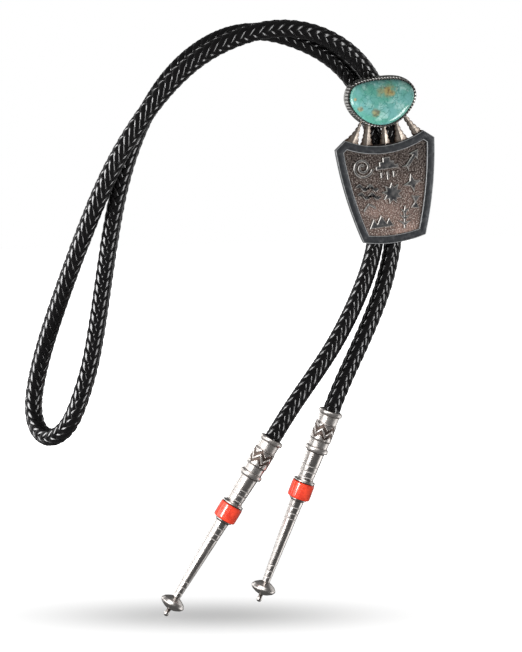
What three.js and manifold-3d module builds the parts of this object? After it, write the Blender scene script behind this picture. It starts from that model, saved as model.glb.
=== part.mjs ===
// Bolo tie: one braided cord doubled through a silver slide, with a turquoise set on the slide
// and a long silver tip on each end of the cord.
// Millimetres, +Z up, the slide faces -Y. The origin is under the cord's arch, where the tie hangs.
import * as THREE from 'three';
import { mergeVertices } from 'three/addons/utils/BufferGeometryUtils.js';
import { ParametricGeometry } from 'three/addons/geometries/ParametricGeometry.js';
import Module from 'manifold-3d';

const GAP = 0.3; // between pieces that are set in or laid against each other

// Cord: a round plait of leather, glued into a tip at each end
const CORD_DIAMETER = 7;
const CORD_SIDES = 10;
const CORD_STEPS = 80;
const CORD_INSERTED = 12; // length inside each tip
const CORD_STRAIGHT = 10; // straight run above each tip
// Route of the free cord as x, y, z: up the left tail, behind the slide, over the arch at the back,
// round the hanging bight, over the arch again in front, behind the slide and down the right tail.
const CORD_ROUTE = [
  [9, 0, -145], [22.9, 0, -125.5], [33.7, 0, -105], [40.9, 0, -84], [41.9, 0, -60],
  [40.5, 2.2, -37.8], [36, 5.8, -20.8], [24.2, 5, -7.8], [8.2, 4.1, 0.3], [-8.1, 4, 3.8],
  [-22.2, 4, 1.4], [-37.2, 3.9, -7.8], [-49, 3.8, -21.5], [-58.1, 3.6, -39.1], [-65.3, 1.8, -61],
  [-72.2, -4.4, -93], [-79.2, -11.4, -126], [-84.6, -14.2, -141.2], [-87.7, -12.1, -149.7],
  [-91.6, -6.7, -155.6], [-95.4, 0.5, -157.4], [-98, 7.7, -154.6], [-98.7, 12.8, -147.9],
  [-97.4, 14.6, -139.2], [-94.6, 11.8, -125], [-88.6, 7, -104], [-78.7, 1.2, -75], [-69.8, -2.2, -53],
  [-59.5, -3.7, -34.8], [-46.9, -3.9, -18.5], [-32.5, -4, -5.8], [-16.3, -4, 1.9], [0, -4, 5.1],
  [15.7, -3.7, 2.6], [30.5, -2, -5.6], [41.6, 0.9, -19.1], [47.8, 0, -37], [49.7, 0, -60],
  [49.1, 0, -80], [44.2, 0, -102], [35, 0, -124],
];

// Slide: its middle, its roll (right side up), and its levels in front of the cords' middle plane
const SLIDE_AT = [45.6, 0, -61];
const SLIDE_ROLL = 6.5;
const PLATE_BACK = 3.8;
const GROUND_LEVEL = PLATE_BACK + 1.1;
const FRAME_LEVEL = GROUND_LEVEL + 1;
const FIGURE_LEVEL = GROUND_LEVEL + 0.8;
const SUNK = 0.4; // how far a soldered piece runs into the one under it

// Shield plate
const SHIELD = {
  cornerHalf: 21, cornerHeight: 19.5, // outer upper corners
  earHalf: 16.6, earHeight: 22.9, // ends of the hollow top edge
  topHollow: 4.1, // sag of the top edge between the ears
  sideBulge: 1.3,
  footHalf: 13.25, footHeight: -19.4, // lower corners
  footBulge: 1.7,
};
const FRAME_WIDTH = 3.2;
const CURVE_STEPS = 10;

// Five feathers from the plate's top edge to the stone's setting
const FEATHER_LEVEL = PLATE_BACK + 1;
const FEATHER_TEETH = 5;
const FEATHER_NOTCH = 0.35;
const FEATHER_FLARE = 2; // how sharply a feather spreads towards its base
const FEATHERS = [
  { baseX: -13.6, baseZ: 21.2, baseWidth: 6.6, topX: -8.7, topZ: 29.4, topWidth: 1.1 },
  { baseX: -7.6, baseZ: 19.6, baseWidth: 5.2, topX: -5.9, topZ: 28.6, topWidth: 2.6 },
  { baseX: 0.4, baseZ: 18.3, baseWidth: 5.4, topX: 0.5, topZ: 27.6, topWidth: 2 },
  { baseX: 7.5, baseZ: 18.8, baseWidth: 7.2, topX: 5.5, topZ: 28.4, topWidth: 1.7 },
  { baseX: 15, baseZ: 20.8, baseWidth: 5.4, topX: 9.8, topZ: 29.2, topWidth: 2 },
];

// Turquoise: outline about its own middle, cut as a low dome over a short upright edge
const STONE_HEIGHT = 36.5; // its middle above the slide's middle
const STONE_OUTLINE = [
  [-13.4, 2.6], [-11.3, 7.3], [-4.8, 8.9], [1.5, 8.9], [8.4, 8], [12.7, 5],
  [13.6, 1], [11, -3.7], [5.5, -7.9], [-0.5, -9.1], [-6.3, -7.5], [-11.2, -3.1],
];
const STONE_AROUND = 48;
const STONE_EDGE = 2.4;
const STONE_DOME = 3.2;
const DOME_STEPS = 7;
const DOME_SQUARENESS = 0.62; // below 1 the dome is flat on top and steep at its edge

// Bezel: a cup with a sawtooth upper edge round the stone
const CUP_FLOOR = 1;
const WALL_THICKNESS = 0.5;
const WALL_FLARE = 0.7; // the wall's foot stands out this far past its upper edge
const WALL_TEETH = 60;
const TOOTH_HEIGHT = 0.7;

// Clip behind the plate that keeps both cords together
const CLIP_MIDDLE = -3;
const CLIP_HEIGHT = 14;
const CLIP_SHEET = 1;
const CLIP_HALF = 8.7; // inside
const CLIP_FOOT = 3.5;
const CLIP_CORNER = 2.4;

// Tips: the mouth's middle, the lean to the left in the plane of the tie and the lean to the back
const TIPS = [
  { name: 'left', mouth: [-1.8, 0.9, -161.9], slant: 31.1, lean: 4 },
  { name: 'right', mouth: [23.1, 0.9, -151.3], slant: 20.2, lean: 4 },
];
const TIP_SIDES = 20;
const BORE_RADIUS = CORD_DIAMETER / 2 + 0.25;
const BORE_DEPTH = CORD_INSERTED + GAP;
const GROOVE_HALF = 0.35;
const GROOVE_DEPTH = 0.25;
const CORAL_SEAT = { from: 31.6, to: 39, core: 2.6 };
const CORAL_RADIUS = 4.8;
const CORAL_ROUND = 0.35;
// Outside of a tip from its mouth down: distance from the mouth and radius, with ring grooves
const TIP_PROFILE = [
  { at: 0, radius: 4.35 }, { at: 0.35, radius: 4.9 }, { at: 1, radius: 5.1 },
  { at: 1.65, radius: 4.9 }, { at: 2, radius: 4.25 }, { at: 5.5, radius: 4.2 },
  { at: 5.6, radius: 4.5 }, { at: 13, radius: 4.5 }, { at: 13.1, radius: 4.2 },
  { at: 16, radius: 4.15 }, { at: 16.4, radius: 4.75 }, { at: 17.2, radius: 4.95 },
  { at: 18, radius: 4.75 }, { at: 18.4, radius: 3.85 },
  { at: 24.4, radius: 3.65, groove: true }, { at: 26.8, radius: 3.52, groove: true },
  { at: 29.3, radius: 3.4, groove: true },
  { at: 30.2, radius: 3.35 }, { at: 30.8, radius: 3.75 }, { at: 31.1, radius: 4.6 },
  { at: CORAL_SEAT.from, radius: 4.6 }, { at: CORAL_SEAT.from, radius: CORAL_SEAT.core },
  { at: CORAL_SEAT.to, radius: CORAL_SEAT.core }, { at: CORAL_SEAT.to, radius: 3.8 },
  { at: 39.4, radius: 3.7 }, { at: 39.9, radius: 2.9 },
  { at: 42.9, radius: 2.76, groove: true }, { at: 45.6, radius: 2.66, groove: true },
  { at: 48, radius: 2.57, groove: true },
  { at: 69, radius: 1.85, groove: true }, { at: 71.6, radius: 1.76, groove: true },
  { at: 74.3, radius: 1.66, groove: true },
  { at: 76.6, radius: 1.6 }, { at: 77.2, radius: 2.9 }, { at: 78.2, radius: 4.45 },
  { at: 79.3, radius: 5.25 }, { at: 79.8, radius: 5.25 }, { at: 80.8, radius: 4.5 },
  { at: 81.8, radius: 2.75 }, { at: 82.4, radius: 0.9 }, { at: 83.5, radius: 0.75 },
  { at: 83.9, radius: 1.05 }, { at: 84.8, radius: 1.15 }, { at: 85.5, radius: 0.75 },
];
const TIP_END = 85.7;

const FINISH = {
  leather: new THREE.MeshStandardMaterial({ color: 0x0c0b0c, roughness: 0.32, metalness: 0 }),
  darkSilver: new THREE.MeshStandardMaterial({ color: 0x6e6462, roughness: 0.42, metalness: 0.9 }),
  turquoise: new THREE.MeshStandardMaterial({ color: 0x67b8a8, roughness: 0.15, metalness: 0 }),
  clipMetal: new THREE.MeshStandardMaterial({ color: 0xa3a19d, roughness: 0.35, metalness: 1 }),
  silver: new THREE.MeshStandardMaterial({ color: 0xc9c5c0, roughness: 0.2, metalness: 1 }),
  coral: new THREE.MeshStandardMaterial({ color: 0xd5432b, roughness: 0.22, metalness: 0 }),
};

const wasm = await Module();
wasm.setup();

// Leaves only positions, merges shared corners and drops triangles that have shrunk to a line.
function closedSurface(geometry) {
  const bare = new THREE.BufferGeometry().setAttribute('position', geometry.getAttribute('position'));
  bare.setIndex(geometry.getIndex());
  const merged = mergeVertices(bare, 1e-4);
  const corners = merged.getIndex().array;
  const kept = [];
  for (let i = 0; i < corners.length; i += 3) {
    const [a, b, c] = corners.slice(i, i + 3);
    if (a !== b && b !== c && c !== a) kept.push(a, b, c);
  }
  merged.setIndex(kept);
  return merged;
}

function solidFrom(geometry) {
  const surface = closedSurface(geometry);
  return new wasm.Manifold(new wasm.Mesh({
    numProp: 3,
    vertProperties: surface.getAttribute('position').array,
    triVerts: new Uint32Array(surface.getIndex().array),
  }));
}

function geometryFrom(solid) {
  const { vertProperties, triVerts } = solid.getMesh();
  const geometry = new THREE.BufferGeometry();
  geometry.setAttribute('position', new THREE.BufferAttribute(vertProperties, 3));
  geometry.setIndex(new THREE.BufferAttribute(triVerts, 1));
  const faceted = geometry.toNonIndexed();
  faceted.computeVertexNormals();
  return faceted;
}

function piece(name, geometry, material) {
  const mesh = new THREE.Mesh(geometry, material.clone());
  mesh.name = name;
  return mesh;
}

// A flat piece of the slide: an outline in x and z, from one level to another towards the front.
function slab(outline, back, front) {
  const shape = outline instanceof THREE.Shape ? outline : new THREE.Shape(outline);
  const block = new THREE.ExtrudeGeometry(shape, { depth: front - back, bevelEnabled: false, curveSegments: 6 });
  return block.translate(0, 0, back).rotateX(Math.PI / 2);
}

// The outline moved inwards by a distance, each corner to where its two moved edges cross.
function insetOutline(points, distance) {
  return points.map((corner, i) => {
    const before = points[(i + points.length - 1) % points.length];
    const after = points[(i + 1) % points.length];
    const along = corner.clone().sub(before).normalize();
    const onward = after.clone().sub(corner).normalize();
    const inwardA = new THREE.Vector2(along.y, -along.x);
    const inwardB = new THREE.Vector2(onward.y, -onward.x);
    const middle = inwardA.clone().add(inwardB).normalize();
    return corner.clone().addScaledVector(middle, distance / middle.dot(inwardA));
  });
}

// Clockwise from the left upper corner, with a parabola for each bowed edge.
function shieldOutline() {
  const s = SHIELD;
  const sideX = (s.cornerHalf + s.footHalf) / 2 + 2 * s.sideBulge;
  const sideZ = (s.cornerHeight + s.footHeight) / 2;
  const shape = new THREE.Shape();
  shape.moveTo(-s.cornerHalf, s.cornerHeight);
  shape.lineTo(-s.earHalf, s.earHeight);
  shape.quadraticCurveTo(0, s.earHeight - 2 * s.topHollow, s.earHalf, s.earHeight);
  shape.lineTo(s.cornerHalf, s.cornerHeight);
  shape.quadraticCurveTo(sideX, sideZ, s.footHalf, s.footHeight);
  shape.quadraticCurveTo(0, s.footHeight - 2 * s.footBulge, -s.footHalf, s.footHeight);
  shape.quadraticCurveTo(-sideX, sideZ, -s.cornerHalf, s.cornerHeight);
  return shape.getPoints(CURVE_STEPS).slice(0, -1);
}

function framedPlate() {
  const outline = shieldOutline();
  const block = solidFrom(slab(outline, PLATE_BACK, FRAME_LEVEL));
  const recess = solidFrom(slab(insetOutline(outline, FRAME_WIDTH), GROUND_LEVEL, FRAME_LEVEL + 1));
  return block.subtract(recess);
}

// A strip of constant width along a line of points, as a closed outline.
function ribbonOutline(points, width) {
  const left = [];
  const right = [];
  points.forEach((point, i) => {
    const before = points[Math.max(i - 1, 0)];
    const after = points[Math.min(i + 1, points.length - 1)];
    const along = after.clone().sub(before).normalize();
    const aside = new THREE.Vector2(-along.y, along.x).multiplyScalar(width / 2);
    left.push(point.clone().add(aside));
    right.push(point.clone().sub(aside));
  });
  return [...left, ...right.reverse()];
}

// A star of alternate long and short radii.
function starOutline(points, long, short) {
  return Array.from({ length: 2 * points }, (_, i) => {
    const angle = Math.PI / 2 + (i * Math.PI) / points;
    const radius = i % 2 ? short : long;
    return new THREE.Vector2(radius * Math.cos(angle), radius * Math.sin(angle));
  });
}

function spiralOutline() {
  const steps = 22;
  const turns = 1.9;
  const line = Array.from({ length: steps + 1 }, (_, i) => {
    const t = i / steps;
    const angle = 2 * Math.PI * turns * t;
    const radius = 0.6 + 3.6 * t;
    return new THREE.Vector2(radius * Math.cos(angle), radius * Math.sin(angle));
  });
  return ribbonOutline(line, 1.05);
}

function waveOutline() {
  const steps = 14;
  const line = Array.from({ length: steps + 1 }, (_, i) => {
    const t = i / steps;
    return new THREE.Vector2(9 * t - 4.5, Math.sin(4 * Math.PI * t));
  });
  return ribbonOutline(line, 1.15);
}

// A terraced cloud: steps up to the middle and down again.
function cloudOutline() {
  const step = 1.6;
  const outline = [new THREE.Vector2(-3 * step, 0)];
  for (let i = 0; i < 3; i += 1) {
    outline.push(new THREE.Vector2((i - 3) * step, (i + 1) * step));
    outline.push(new THREE.Vector2((i - 2) * step, (i + 1) * step));
  }
  const mirrored = outline.slice(0, -1).map((p) => new THREE.Vector2(-p.x, p.y)).reverse();
  return [...outline.slice(0, -1), ...mirrored];
}

function barOutline(width, height) {
  const w = width / 2;
  const h = height / 2;
  return [[-w, -h], [-w, h], [w, h], [w, -h]].map(([x, z]) => new THREE.Vector2(x, z));
}

// An arrow: head, shaft and a notched tail.
function arrowOutline() {
  const half = [[0, 5.2], [2.3, 1.5], [0.75, 1.9], [0.75, -2.8], [1.8, -4.6], [0, -3.4]];
  const right = half.map(([x, z]) => new THREE.Vector2(x, z));
  const left = half.slice(1, -1).map(([x, z]) => new THREE.Vector2(-x, z)).reverse();
  return [...right, ...left];
}

// A row of three peaks on one foot.
function peaksOutline() {
  const row = [[-5.2, -1.9], [-3.1, 1.9], [-1.8, -0.2], [0.2, 3.1], [2.2, -0.2], [3.4, 1.7], [5.2, -1.9]];
  return row.map(([x, z]) => new THREE.Vector2(x, z));
}

// A stalk with three pairs of leaves.
function stalkOutline() {
  const right = [[0.5, -4.6]];
  for (let pair = 0; pair < 3; pair += 1) {
    const root = -3.2 + 2.4 * pair;
    right.push([0.5, root], [2.9 - 0.5 * pair, root + 1.9], [0.5, root + 1.2]);
  }
  right.push([0, 4.9]);
  const left = right.slice(0, -1).map(([x, z]) => [-x, z]).reverse();
  return [...right, ...left].map(([x, z]) => new THREE.Vector2(x, z));
}

// An upright angle of two equal arms.
function chevronOutline() {
  const outline = [[-2.6, -1.7], [-2.6, -0.5], [0, 1.7], [2.6, -0.5], [2.6, -1.7], [0, 0.5]];
  return outline.map(([x, z]) => new THREE.Vector2(x, z));
}

// Two triangles that meet in a narrow waist.
function hourglassOutline() {
  const outline = [[-1.8, 2.5], [1.8, 2.5], [0.35, 0], [1.8, -2.5], [-1.8, -2.5], [-0.35, 0]];
  return outline.map(([x, z]) => new THREE.Vector2(x, z));
}

// Raised figures on the ground: each outline with its place and turn
const FIGURES = [
  { outline: spiralOutline(), x: -10.4, z: 11, turn: 20 },
  { outline: cloudOutline(), x: -0.1, z: 9.2, turn: 0 },
  { outline: barOutline(1, 2.4), x: -2.7, z: 6.9, turn: 0 },
  { outline: barOutline(1, 3.2), x: -0.1, z: 6.5, turn: 0 },
  { outline: barOutline(1, 2.4), x: 2.5, z: 6.9, turn: 0 },
  { outline: arrowOutline(), x: 10.4, z: 11.6, turn: -40 },
  { outline: waveOutline(), x: -9.2, z: 2.6, turn: -8 },
  { outline: waveOutline(), x: -8.8, z: -0.8, turn: -8 },
  { outline: starOutline(9, 4.5, 2.7), x: 1, z: -0.9, turn: 0 },
  { outline: starOutline(4, 4, 1.5), x: 9.9, z: 2.2, turn: 8 },
  { outline: chevronOutline(), x: -9.1, z: -5.2, turn: 6 },
  { outline: hourglassOutline(), x: 10.4, z: -5.6, turn: -10 },
  { outline: peaksOutline(), x: -4.9, z: -12.3, turn: 0 },
  { outline: stalkOutline(), x: 5.3, z: -11.2, turn: -6 },
];

function raisedFigure({ outline, x, z, turn }) {
  const centre = new THREE.Vector2();
  const place = new THREE.Vector2(x, z);
  const angle = THREE.MathUtils.degToRad(turn);
  const placed = outline.map((point) => point.clone().rotateAround(centre, angle).add(place));
  return solidFrom(slab(placed, GROUND_LEVEL - SUNK, FIGURE_LEVEL));
}

// A feather that spreads towards its base, with a notched edge on both sides.
function featherOutline({ baseX, baseZ, baseWidth, topX, topZ, topWidth }) {
  const base = new THREE.Vector2(baseX, baseZ);
  const along = new THREE.Vector2(topX, topZ).sub(base);
  const aside = new THREE.Vector2(along.y, -along.x).normalize();
  const edge = (side) => {
    const points = [];
    for (let tooth = 0; tooth < FEATHER_TEETH; tooth += 1) {
      [[tooth, 0], [tooth + 0.8, 0], [tooth + 0.9, FEATHER_NOTCH]].forEach(([step, cut]) => {
        const t = step / FEATHER_TEETH;
        const width = topWidth + (baseWidth - topWidth) * (1 - t) ** FEATHER_FLARE;
        const half = width / 2 - cut;
        points.push(base.clone().addScaledVector(along, t).addScaledVector(aside, side * half));
      });
    }
    return points;
  };
  return [...edge(-1), ...edge(1).reverse()];
}

const stoneLine = new THREE.CatmullRomCurve3(
  STONE_OUTLINE.map(([x, z]) => new THREE.Vector3(x, 0, z)), true, 'centripetal',
);

// A point beside the stone's outline, at a share of the way round it and a distance outwards.
function besideStone(share, outwards) {
  const around = share % 1;
  const point = stoneLine.getPointAt(around);
  const along = stoneLine.getTangentAt(around);
  return new THREE.Vector2(point.x - along.z * outwards, point.z + along.x * outwards);
}

// A surface that goes round the stone's outline, with a section of rows given for each share of the way.
function aroundStone(steps, rows, section) {
  const place = (share, row, target) => {
    const step = Math.round(share * steps);
    const { outwards, scale, level } = section(Math.round(row * rows), step);
    const side = besideStone(1 - step / steps, outwards);
    target.set(side.x * scale, -level, STONE_HEIGHT + side.y * scale);
  };
  return new ParametricGeometry(place, steps, rows);
}

const STONE_SEAT = PLATE_BACK + CUP_FLOOR + GAP;
const WALL_LEVEL = STONE_SEAT + STONE_EDGE + TOOTH_HEIGHT;

function bezelWall() {
  return aroundStone(2 * WALL_TEETH, 4, (row, step) => {
    const top = WALL_LEVEL - (step % 2 ? TOOTH_HEIGHT : 0);
    const corners = [
      { outwards: GAP + WALL_THICKNESS + WALL_FLARE, level: PLATE_BACK },
      { outwards: GAP + WALL_THICKNESS, level: top },
      { outwards: GAP, level: top },
      { outwards: GAP, level: PLATE_BACK + SUNK },
    ];
    return { ...corners[row % 4], scale: 1 };
  });
}

function bezelFloor() {
  const outline = Array.from({ length: STONE_AROUND }, (_, i) => (
    besideStone(i / STONE_AROUND, GAP + WALL_THICKNESS / 2).add(new THREE.Vector2(0, STONE_HEIGHT))
  ));
  return slab(outline, PLATE_BACK, PLATE_BACK + CUP_FLOOR);
}

function stoneGeometry() {
  const dome = Array.from({ length: DOME_STEPS + 1 }, (_, i) => {
    const angle = (i / DOME_STEPS) * (Math.PI / 2);
    const rise = Math.sin(angle);
    return { scale: Math.cos(angle) ** DOME_SQUARENESS, level: STONE_SEAT + STONE_EDGE + STONE_DOME * rise };
  });
  dome[DOME_STEPS].scale = 0;
  const rows = [{ scale: 0, level: STONE_SEAT }, { scale: 1, level: STONE_SEAT }, ...dome];
  return aroundStone(STONE_AROUND, rows.length - 1, (row) => ({ ...rows[row], outwards: 0 }));
}

function slideBody() {
  const feathers = FEATHERS.map((feather) => solidFrom(slab(featherOutline(feather), PLATE_BACK, FEATHER_LEVEL)));
  const figures = FIGURES.map(raisedFigure);
  const cup = [bezelFloor(), bezelWall()].map(solidFrom);
  const joined = [...feathers, ...figures, ...cup].reduce((body, part) => body.add(part), framedPlate());
  return geometryFrom(joined);
}

// A strip bent round both cords, with a foot on each side against the plate's back.
function clipGeometry() {
  const front = -PLATE_BACK + GAP;
  const inside = CORD_DIAMETER / 2 + 2 * GAP;
  const outside = inside + CLIP_SHEET;
  const outer = CLIP_HALF + CLIP_SHEET;
  const bend = CLIP_CORNER - CLIP_SHEET;
  const shape = new THREE.Shape();
  shape.moveTo(-outer - CLIP_FOOT, front);
  shape.lineTo(-CLIP_HALF, front);
  shape.lineTo(-CLIP_HALF, inside - bend);
  shape.absarc(-CLIP_HALF + bend, inside - bend, bend, Math.PI, Math.PI / 2, true);
  shape.absarc(CLIP_HALF - bend, inside - bend, bend, Math.PI / 2, 0, true);
  shape.lineTo(CLIP_HALF, front);
  shape.lineTo(outer + CLIP_FOOT, front);
  shape.lineTo(outer + CLIP_FOOT, front + CLIP_SHEET);
  shape.lineTo(outer, front + CLIP_SHEET);
  shape.absarc(outer - CLIP_CORNER, outside - CLIP_CORNER, CLIP_CORNER, 0, Math.PI / 2, false);
  shape.absarc(-outer + CLIP_CORNER, outside - CLIP_CORNER, CLIP_CORNER, Math.PI / 2, Math.PI, false);
  shape.lineTo(-outer, front + CLIP_SHEET);
  shape.lineTo(-outer - CLIP_FOOT, front + CLIP_SHEET);
  const strip = new THREE.ExtrudeGeometry(shape, { depth: CLIP_HEIGHT, bevelEnabled: false, curveSegments: 5 });
  return strip.translate(0, 0, CLIP_MIDDLE - CLIP_HEIGHT / 2);
}

function slide() {
  const group = new THREE.Group();
  group.add(piece('slide_body', slideBody(), FINISH.darkSilver));
  group.add(piece('turquoise_stone', closedSurface(stoneGeometry()), FINISH.turquoise));
  group.add(piece('cord_clip', clipGeometry(), FINISH.clipMetal));
  group.position.set(...SLIDE_AT);
  group.rotation.y = -THREE.MathUtils.degToRad(SLIDE_ROLL);
  return group;
}

// A tip turned about its axis, which runs down from the mouth: the outside, then the cord's bore.
function tipGeometry() {
  const outside = [];
  TIP_PROFILE.forEach(({ at, radius, groove }) => {
    if (!groove) {
      outside.push([radius, -at]);
      return;
    }
    outside.push([radius, -at + GROOVE_HALF], [radius - GROOVE_DEPTH, -at], [radius, -at - GROOVE_HALF]);
  });
  const bore = [[BORE_RADIUS, 0], [BORE_RADIUS, -BORE_DEPTH], [0, -BORE_DEPTH]];
  const profile = [[0, -TIP_END], ...outside.reverse(), ...bore];
  const points = profile.map(([radius, height]) => new THREE.Vector2(radius, height));
  return closedSurface(new THREE.LatheGeometry(points, TIP_SIDES).rotateX(Math.PI / 2));
}

// A band of coral that sits round the tip's core, with its outer edges rounded.
function coralGeometry() {
  const low = -CORAL_SEAT.to + GAP;
  const high = -CORAL_SEAT.from - GAP;
  const inner = CORAL_SEAT.core + GAP;
  const face = CORAL_RADIUS - CORAL_ROUND;
  const profile = [
    [inner, low], [face, low], [CORAL_RADIUS, low + CORAL_ROUND],
    [CORAL_RADIUS, high - CORAL_ROUND], [face, high], [inner, high], [inner, low],
  ];
  const points = profile.map(([radius, height]) => new THREE.Vector2(radius, height));
  return closedSurface(new THREE.LatheGeometry(points, TIP_SIDES).rotateX(Math.PI / 2));
}

// The direction from a tip's mouth to its end.
function tipDirection({ slant, lean }) {
  const s = THREE.MathUtils.degToRad(slant);
  const l = THREE.MathUtils.degToRad(lean);
  return new THREE.Vector3(-Math.sin(s) * Math.cos(l), Math.sin(l), -Math.cos(s) * Math.cos(l));
}

function tip(spec) {
  const group = new THREE.Group();
  group.add(piece(`${spec.name}_tip`, tipGeometry(), FINISH.silver));
  group.add(piece(`${spec.name}_coral_band`, coralGeometry(), FINISH.coral));
  group.position.set(...spec.mouth);
  group.quaternion.setFromUnitVectors(new THREE.Vector3(0, 0, -1), tipDirection(spec));
  return group;
}

// The cord's end run at a tip, from inside the tip to the straight run above it.
function cordEnd(spec) {
  const mouth = new THREE.Vector3(...spec.mouth);
  const inwards = tipDirection(spec);
  return [CORD_INSERTED, 0, -CORD_STRAIGHT].map((depth) => mouth.clone().addScaledVector(inwards, depth));
}

function cord() {
  const [left, right] = TIPS;
  const free = CORD_ROUTE.map((point) => new THREE.Vector3(...point));
  const route = new THREE.CatmullRomCurve3(
    [...cordEnd(left), ...free, ...cordEnd(right).reverse()], false, 'centripetal',
  );
  const section = Array.from({ length: CORD_SIDES }, (_, i) => {
    const angle = (2 * Math.PI * i) / CORD_SIDES;
    return new THREE.Vector2(Math.cos(angle), Math.sin(angle)).multiplyScalar(CORD_DIAMETER / 2);
  });
  const tube = new THREE.ExtrudeGeometry(new THREE.Shape(section), { extrudePath: route, steps: CORD_STEPS });
  return piece('braided_cord', tube, FINISH.leather);
}

const boloTie = new THREE.Group();
boloTie.name = 'bolo_tie';
boloTie.add(cord(), slide(), ...TIPS.map(tip));

export default boloTie;
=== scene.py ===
"""Bolo tie: a plaited leather cord, a silver slide with a set turquoise, and two silver tips.

Sizes are millimetres in the row frame, +Z up and the slide facing -Y. Each mesh is written in metres.
"""
import logging
import math
from collections.abc import Callable
from dataclasses import dataclass, field
from enum import Enum
from functools import lru_cache
from typing import Any

import bpy
import numpy as np
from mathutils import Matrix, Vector


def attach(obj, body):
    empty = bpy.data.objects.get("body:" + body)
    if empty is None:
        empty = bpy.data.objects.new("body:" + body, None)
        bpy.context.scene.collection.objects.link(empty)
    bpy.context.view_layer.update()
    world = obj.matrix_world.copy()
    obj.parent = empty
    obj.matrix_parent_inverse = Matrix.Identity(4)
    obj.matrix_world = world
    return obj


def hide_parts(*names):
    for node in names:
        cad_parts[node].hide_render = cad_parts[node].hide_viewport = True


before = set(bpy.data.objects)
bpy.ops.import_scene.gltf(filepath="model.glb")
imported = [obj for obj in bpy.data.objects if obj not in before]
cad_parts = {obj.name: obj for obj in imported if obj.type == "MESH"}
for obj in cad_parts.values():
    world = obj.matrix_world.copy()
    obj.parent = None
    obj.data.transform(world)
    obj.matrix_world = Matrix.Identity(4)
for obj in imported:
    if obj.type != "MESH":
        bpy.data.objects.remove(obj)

Array = np.ndarray
Colour = tuple[float, float, float, float]
Span = tuple[float, float, float, float]
Section = list[tuple[float, float, float]]
Socket = bpy.types.NodeSocket

LOG = logging.getLogger("bolo_tie")
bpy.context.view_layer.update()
MM = 0.001
BODY = "root"
# The middle part of a value that goes from 0 to 1
MIDDLE = (0.3, 0.7)


def tint(red: int, green: int, blue: int) -> Colour:
    """Turns a display colour of 0 to 255 a channel into the linear colour that a shader takes.

    Args:
        red: Red on the display.
        green: Green on the display.
        blue: Blue on the display.

    Returns:
        The linear colour, opaque.
    """
    shares = np.array([red, green, blue]) / 255
    linear = np.where(shares <= 0.04045, shares / 12.92, ((shares + 0.055) / 1.055) ** 2.4)
    return (*linear.tolist(), 1.0)


def grey(value: float) -> Colour:
    """Gives a linear grey, opaque."""
    return (value, value, value, 1.0)


# Surfaces


class Ends(Enum):
    """How the first and the last row of a grid are closed."""

    JOINED = "the last row joins the first"
    FAN = "each end row closes on its middle"
    FLAT = "each end row is one flat face"


@dataclass
class Surface:
    """A closed mesh in millimetres, with named values at its points.

    The faces are blocks of rows of point numbers, one block for each number of corners.
    """

    points: Array
    faces: list[Array]
    values: dict[str, Array] = field(default_factory=dict)

    def outward(self) -> "Surface":
        """Turns all faces round where the volume that they enclose comes out negative.

        Returns:
            The surface with its faces pointing outwards.
        """
        volume = 0.0
        for block in self.faces:
            corners = self.points[block]
            volume += np.sum(corners[:, :1] * np.cross(corners[:, 1:-1], corners[:, 2:]))
        if volume < 0:
            self.faces = [block[:, ::-1] for block in self.faces]
        return self


def grid_surface(points: Array, ends: Ends, values: dict[str, Array] | None = None) -> Surface:
    """Joins a grid of points with quads; its columns always close on themselves.

    Args:
        points: Rows by columns by three coordinates.
        ends: How the first and last rows are closed.
        values: Named values at the points, in shapes that fit rows by columns.

    Returns:
        The closed surface.
    """
    rows, columns = points.shape[:2]
    index = np.arange(rows * columns).reshape(rows, columns)
    beside = np.roll(index, -1, axis=1)
    quads = np.stack([index, beside, np.roll(beside, -1, axis=0), np.roll(index, -1, axis=0)], axis=-1)
    faces = [quads[:rows if ends is Ends.JOINED else rows - 1].reshape(-1, 4)]
    flat = points.reshape(-1, 3)
    grids = {name: np.broadcast_to(value, (rows, columns)) for name, value in (values or {}).items()}
    listed = {name: grid.reshape(-1) for name, grid in grids.items()}
    if ends is Ends.FLAT:
        faces.append(np.stack([index[0, ::-1], index[-1]]))
    if ends is Ends.FAN:
        flat = np.concatenate([flat, points[[0, -1]].mean(axis=1)])
        first = np.full(columns, rows * columns)
        faces.append(np.stack([beside[0], index[0], first], axis=1))
        faces.append(np.stack([index[-1], beside[-1], first + 1], axis=1))
        for name, grid in grids.items():
            listed[name] = np.concatenate([listed[name], grid[[0, -1]].mean(axis=1)])
    return Surface(flat, faces, listed).outward()


def joined(surfaces: list[Surface]) -> Surface:
    """Puts several surfaces with the same named values into one mesh.

    Args:
        surfaces: The surfaces.

    Returns:
        One surface with all of their points and faces.
    """
    starts = np.cumsum([0] + [len(surface.points) for surface in surfaces[:-1]])
    faces = [block + start for surface, start in zip(surfaces, starts) for block in surface.faces]
    names = surfaces[0].values
    values = {name: np.concatenate([surface.values[name] for surface in surfaces]) for name in names}
    return Surface(np.concatenate([surface.points for surface in surfaces]), faces, values)


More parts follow.
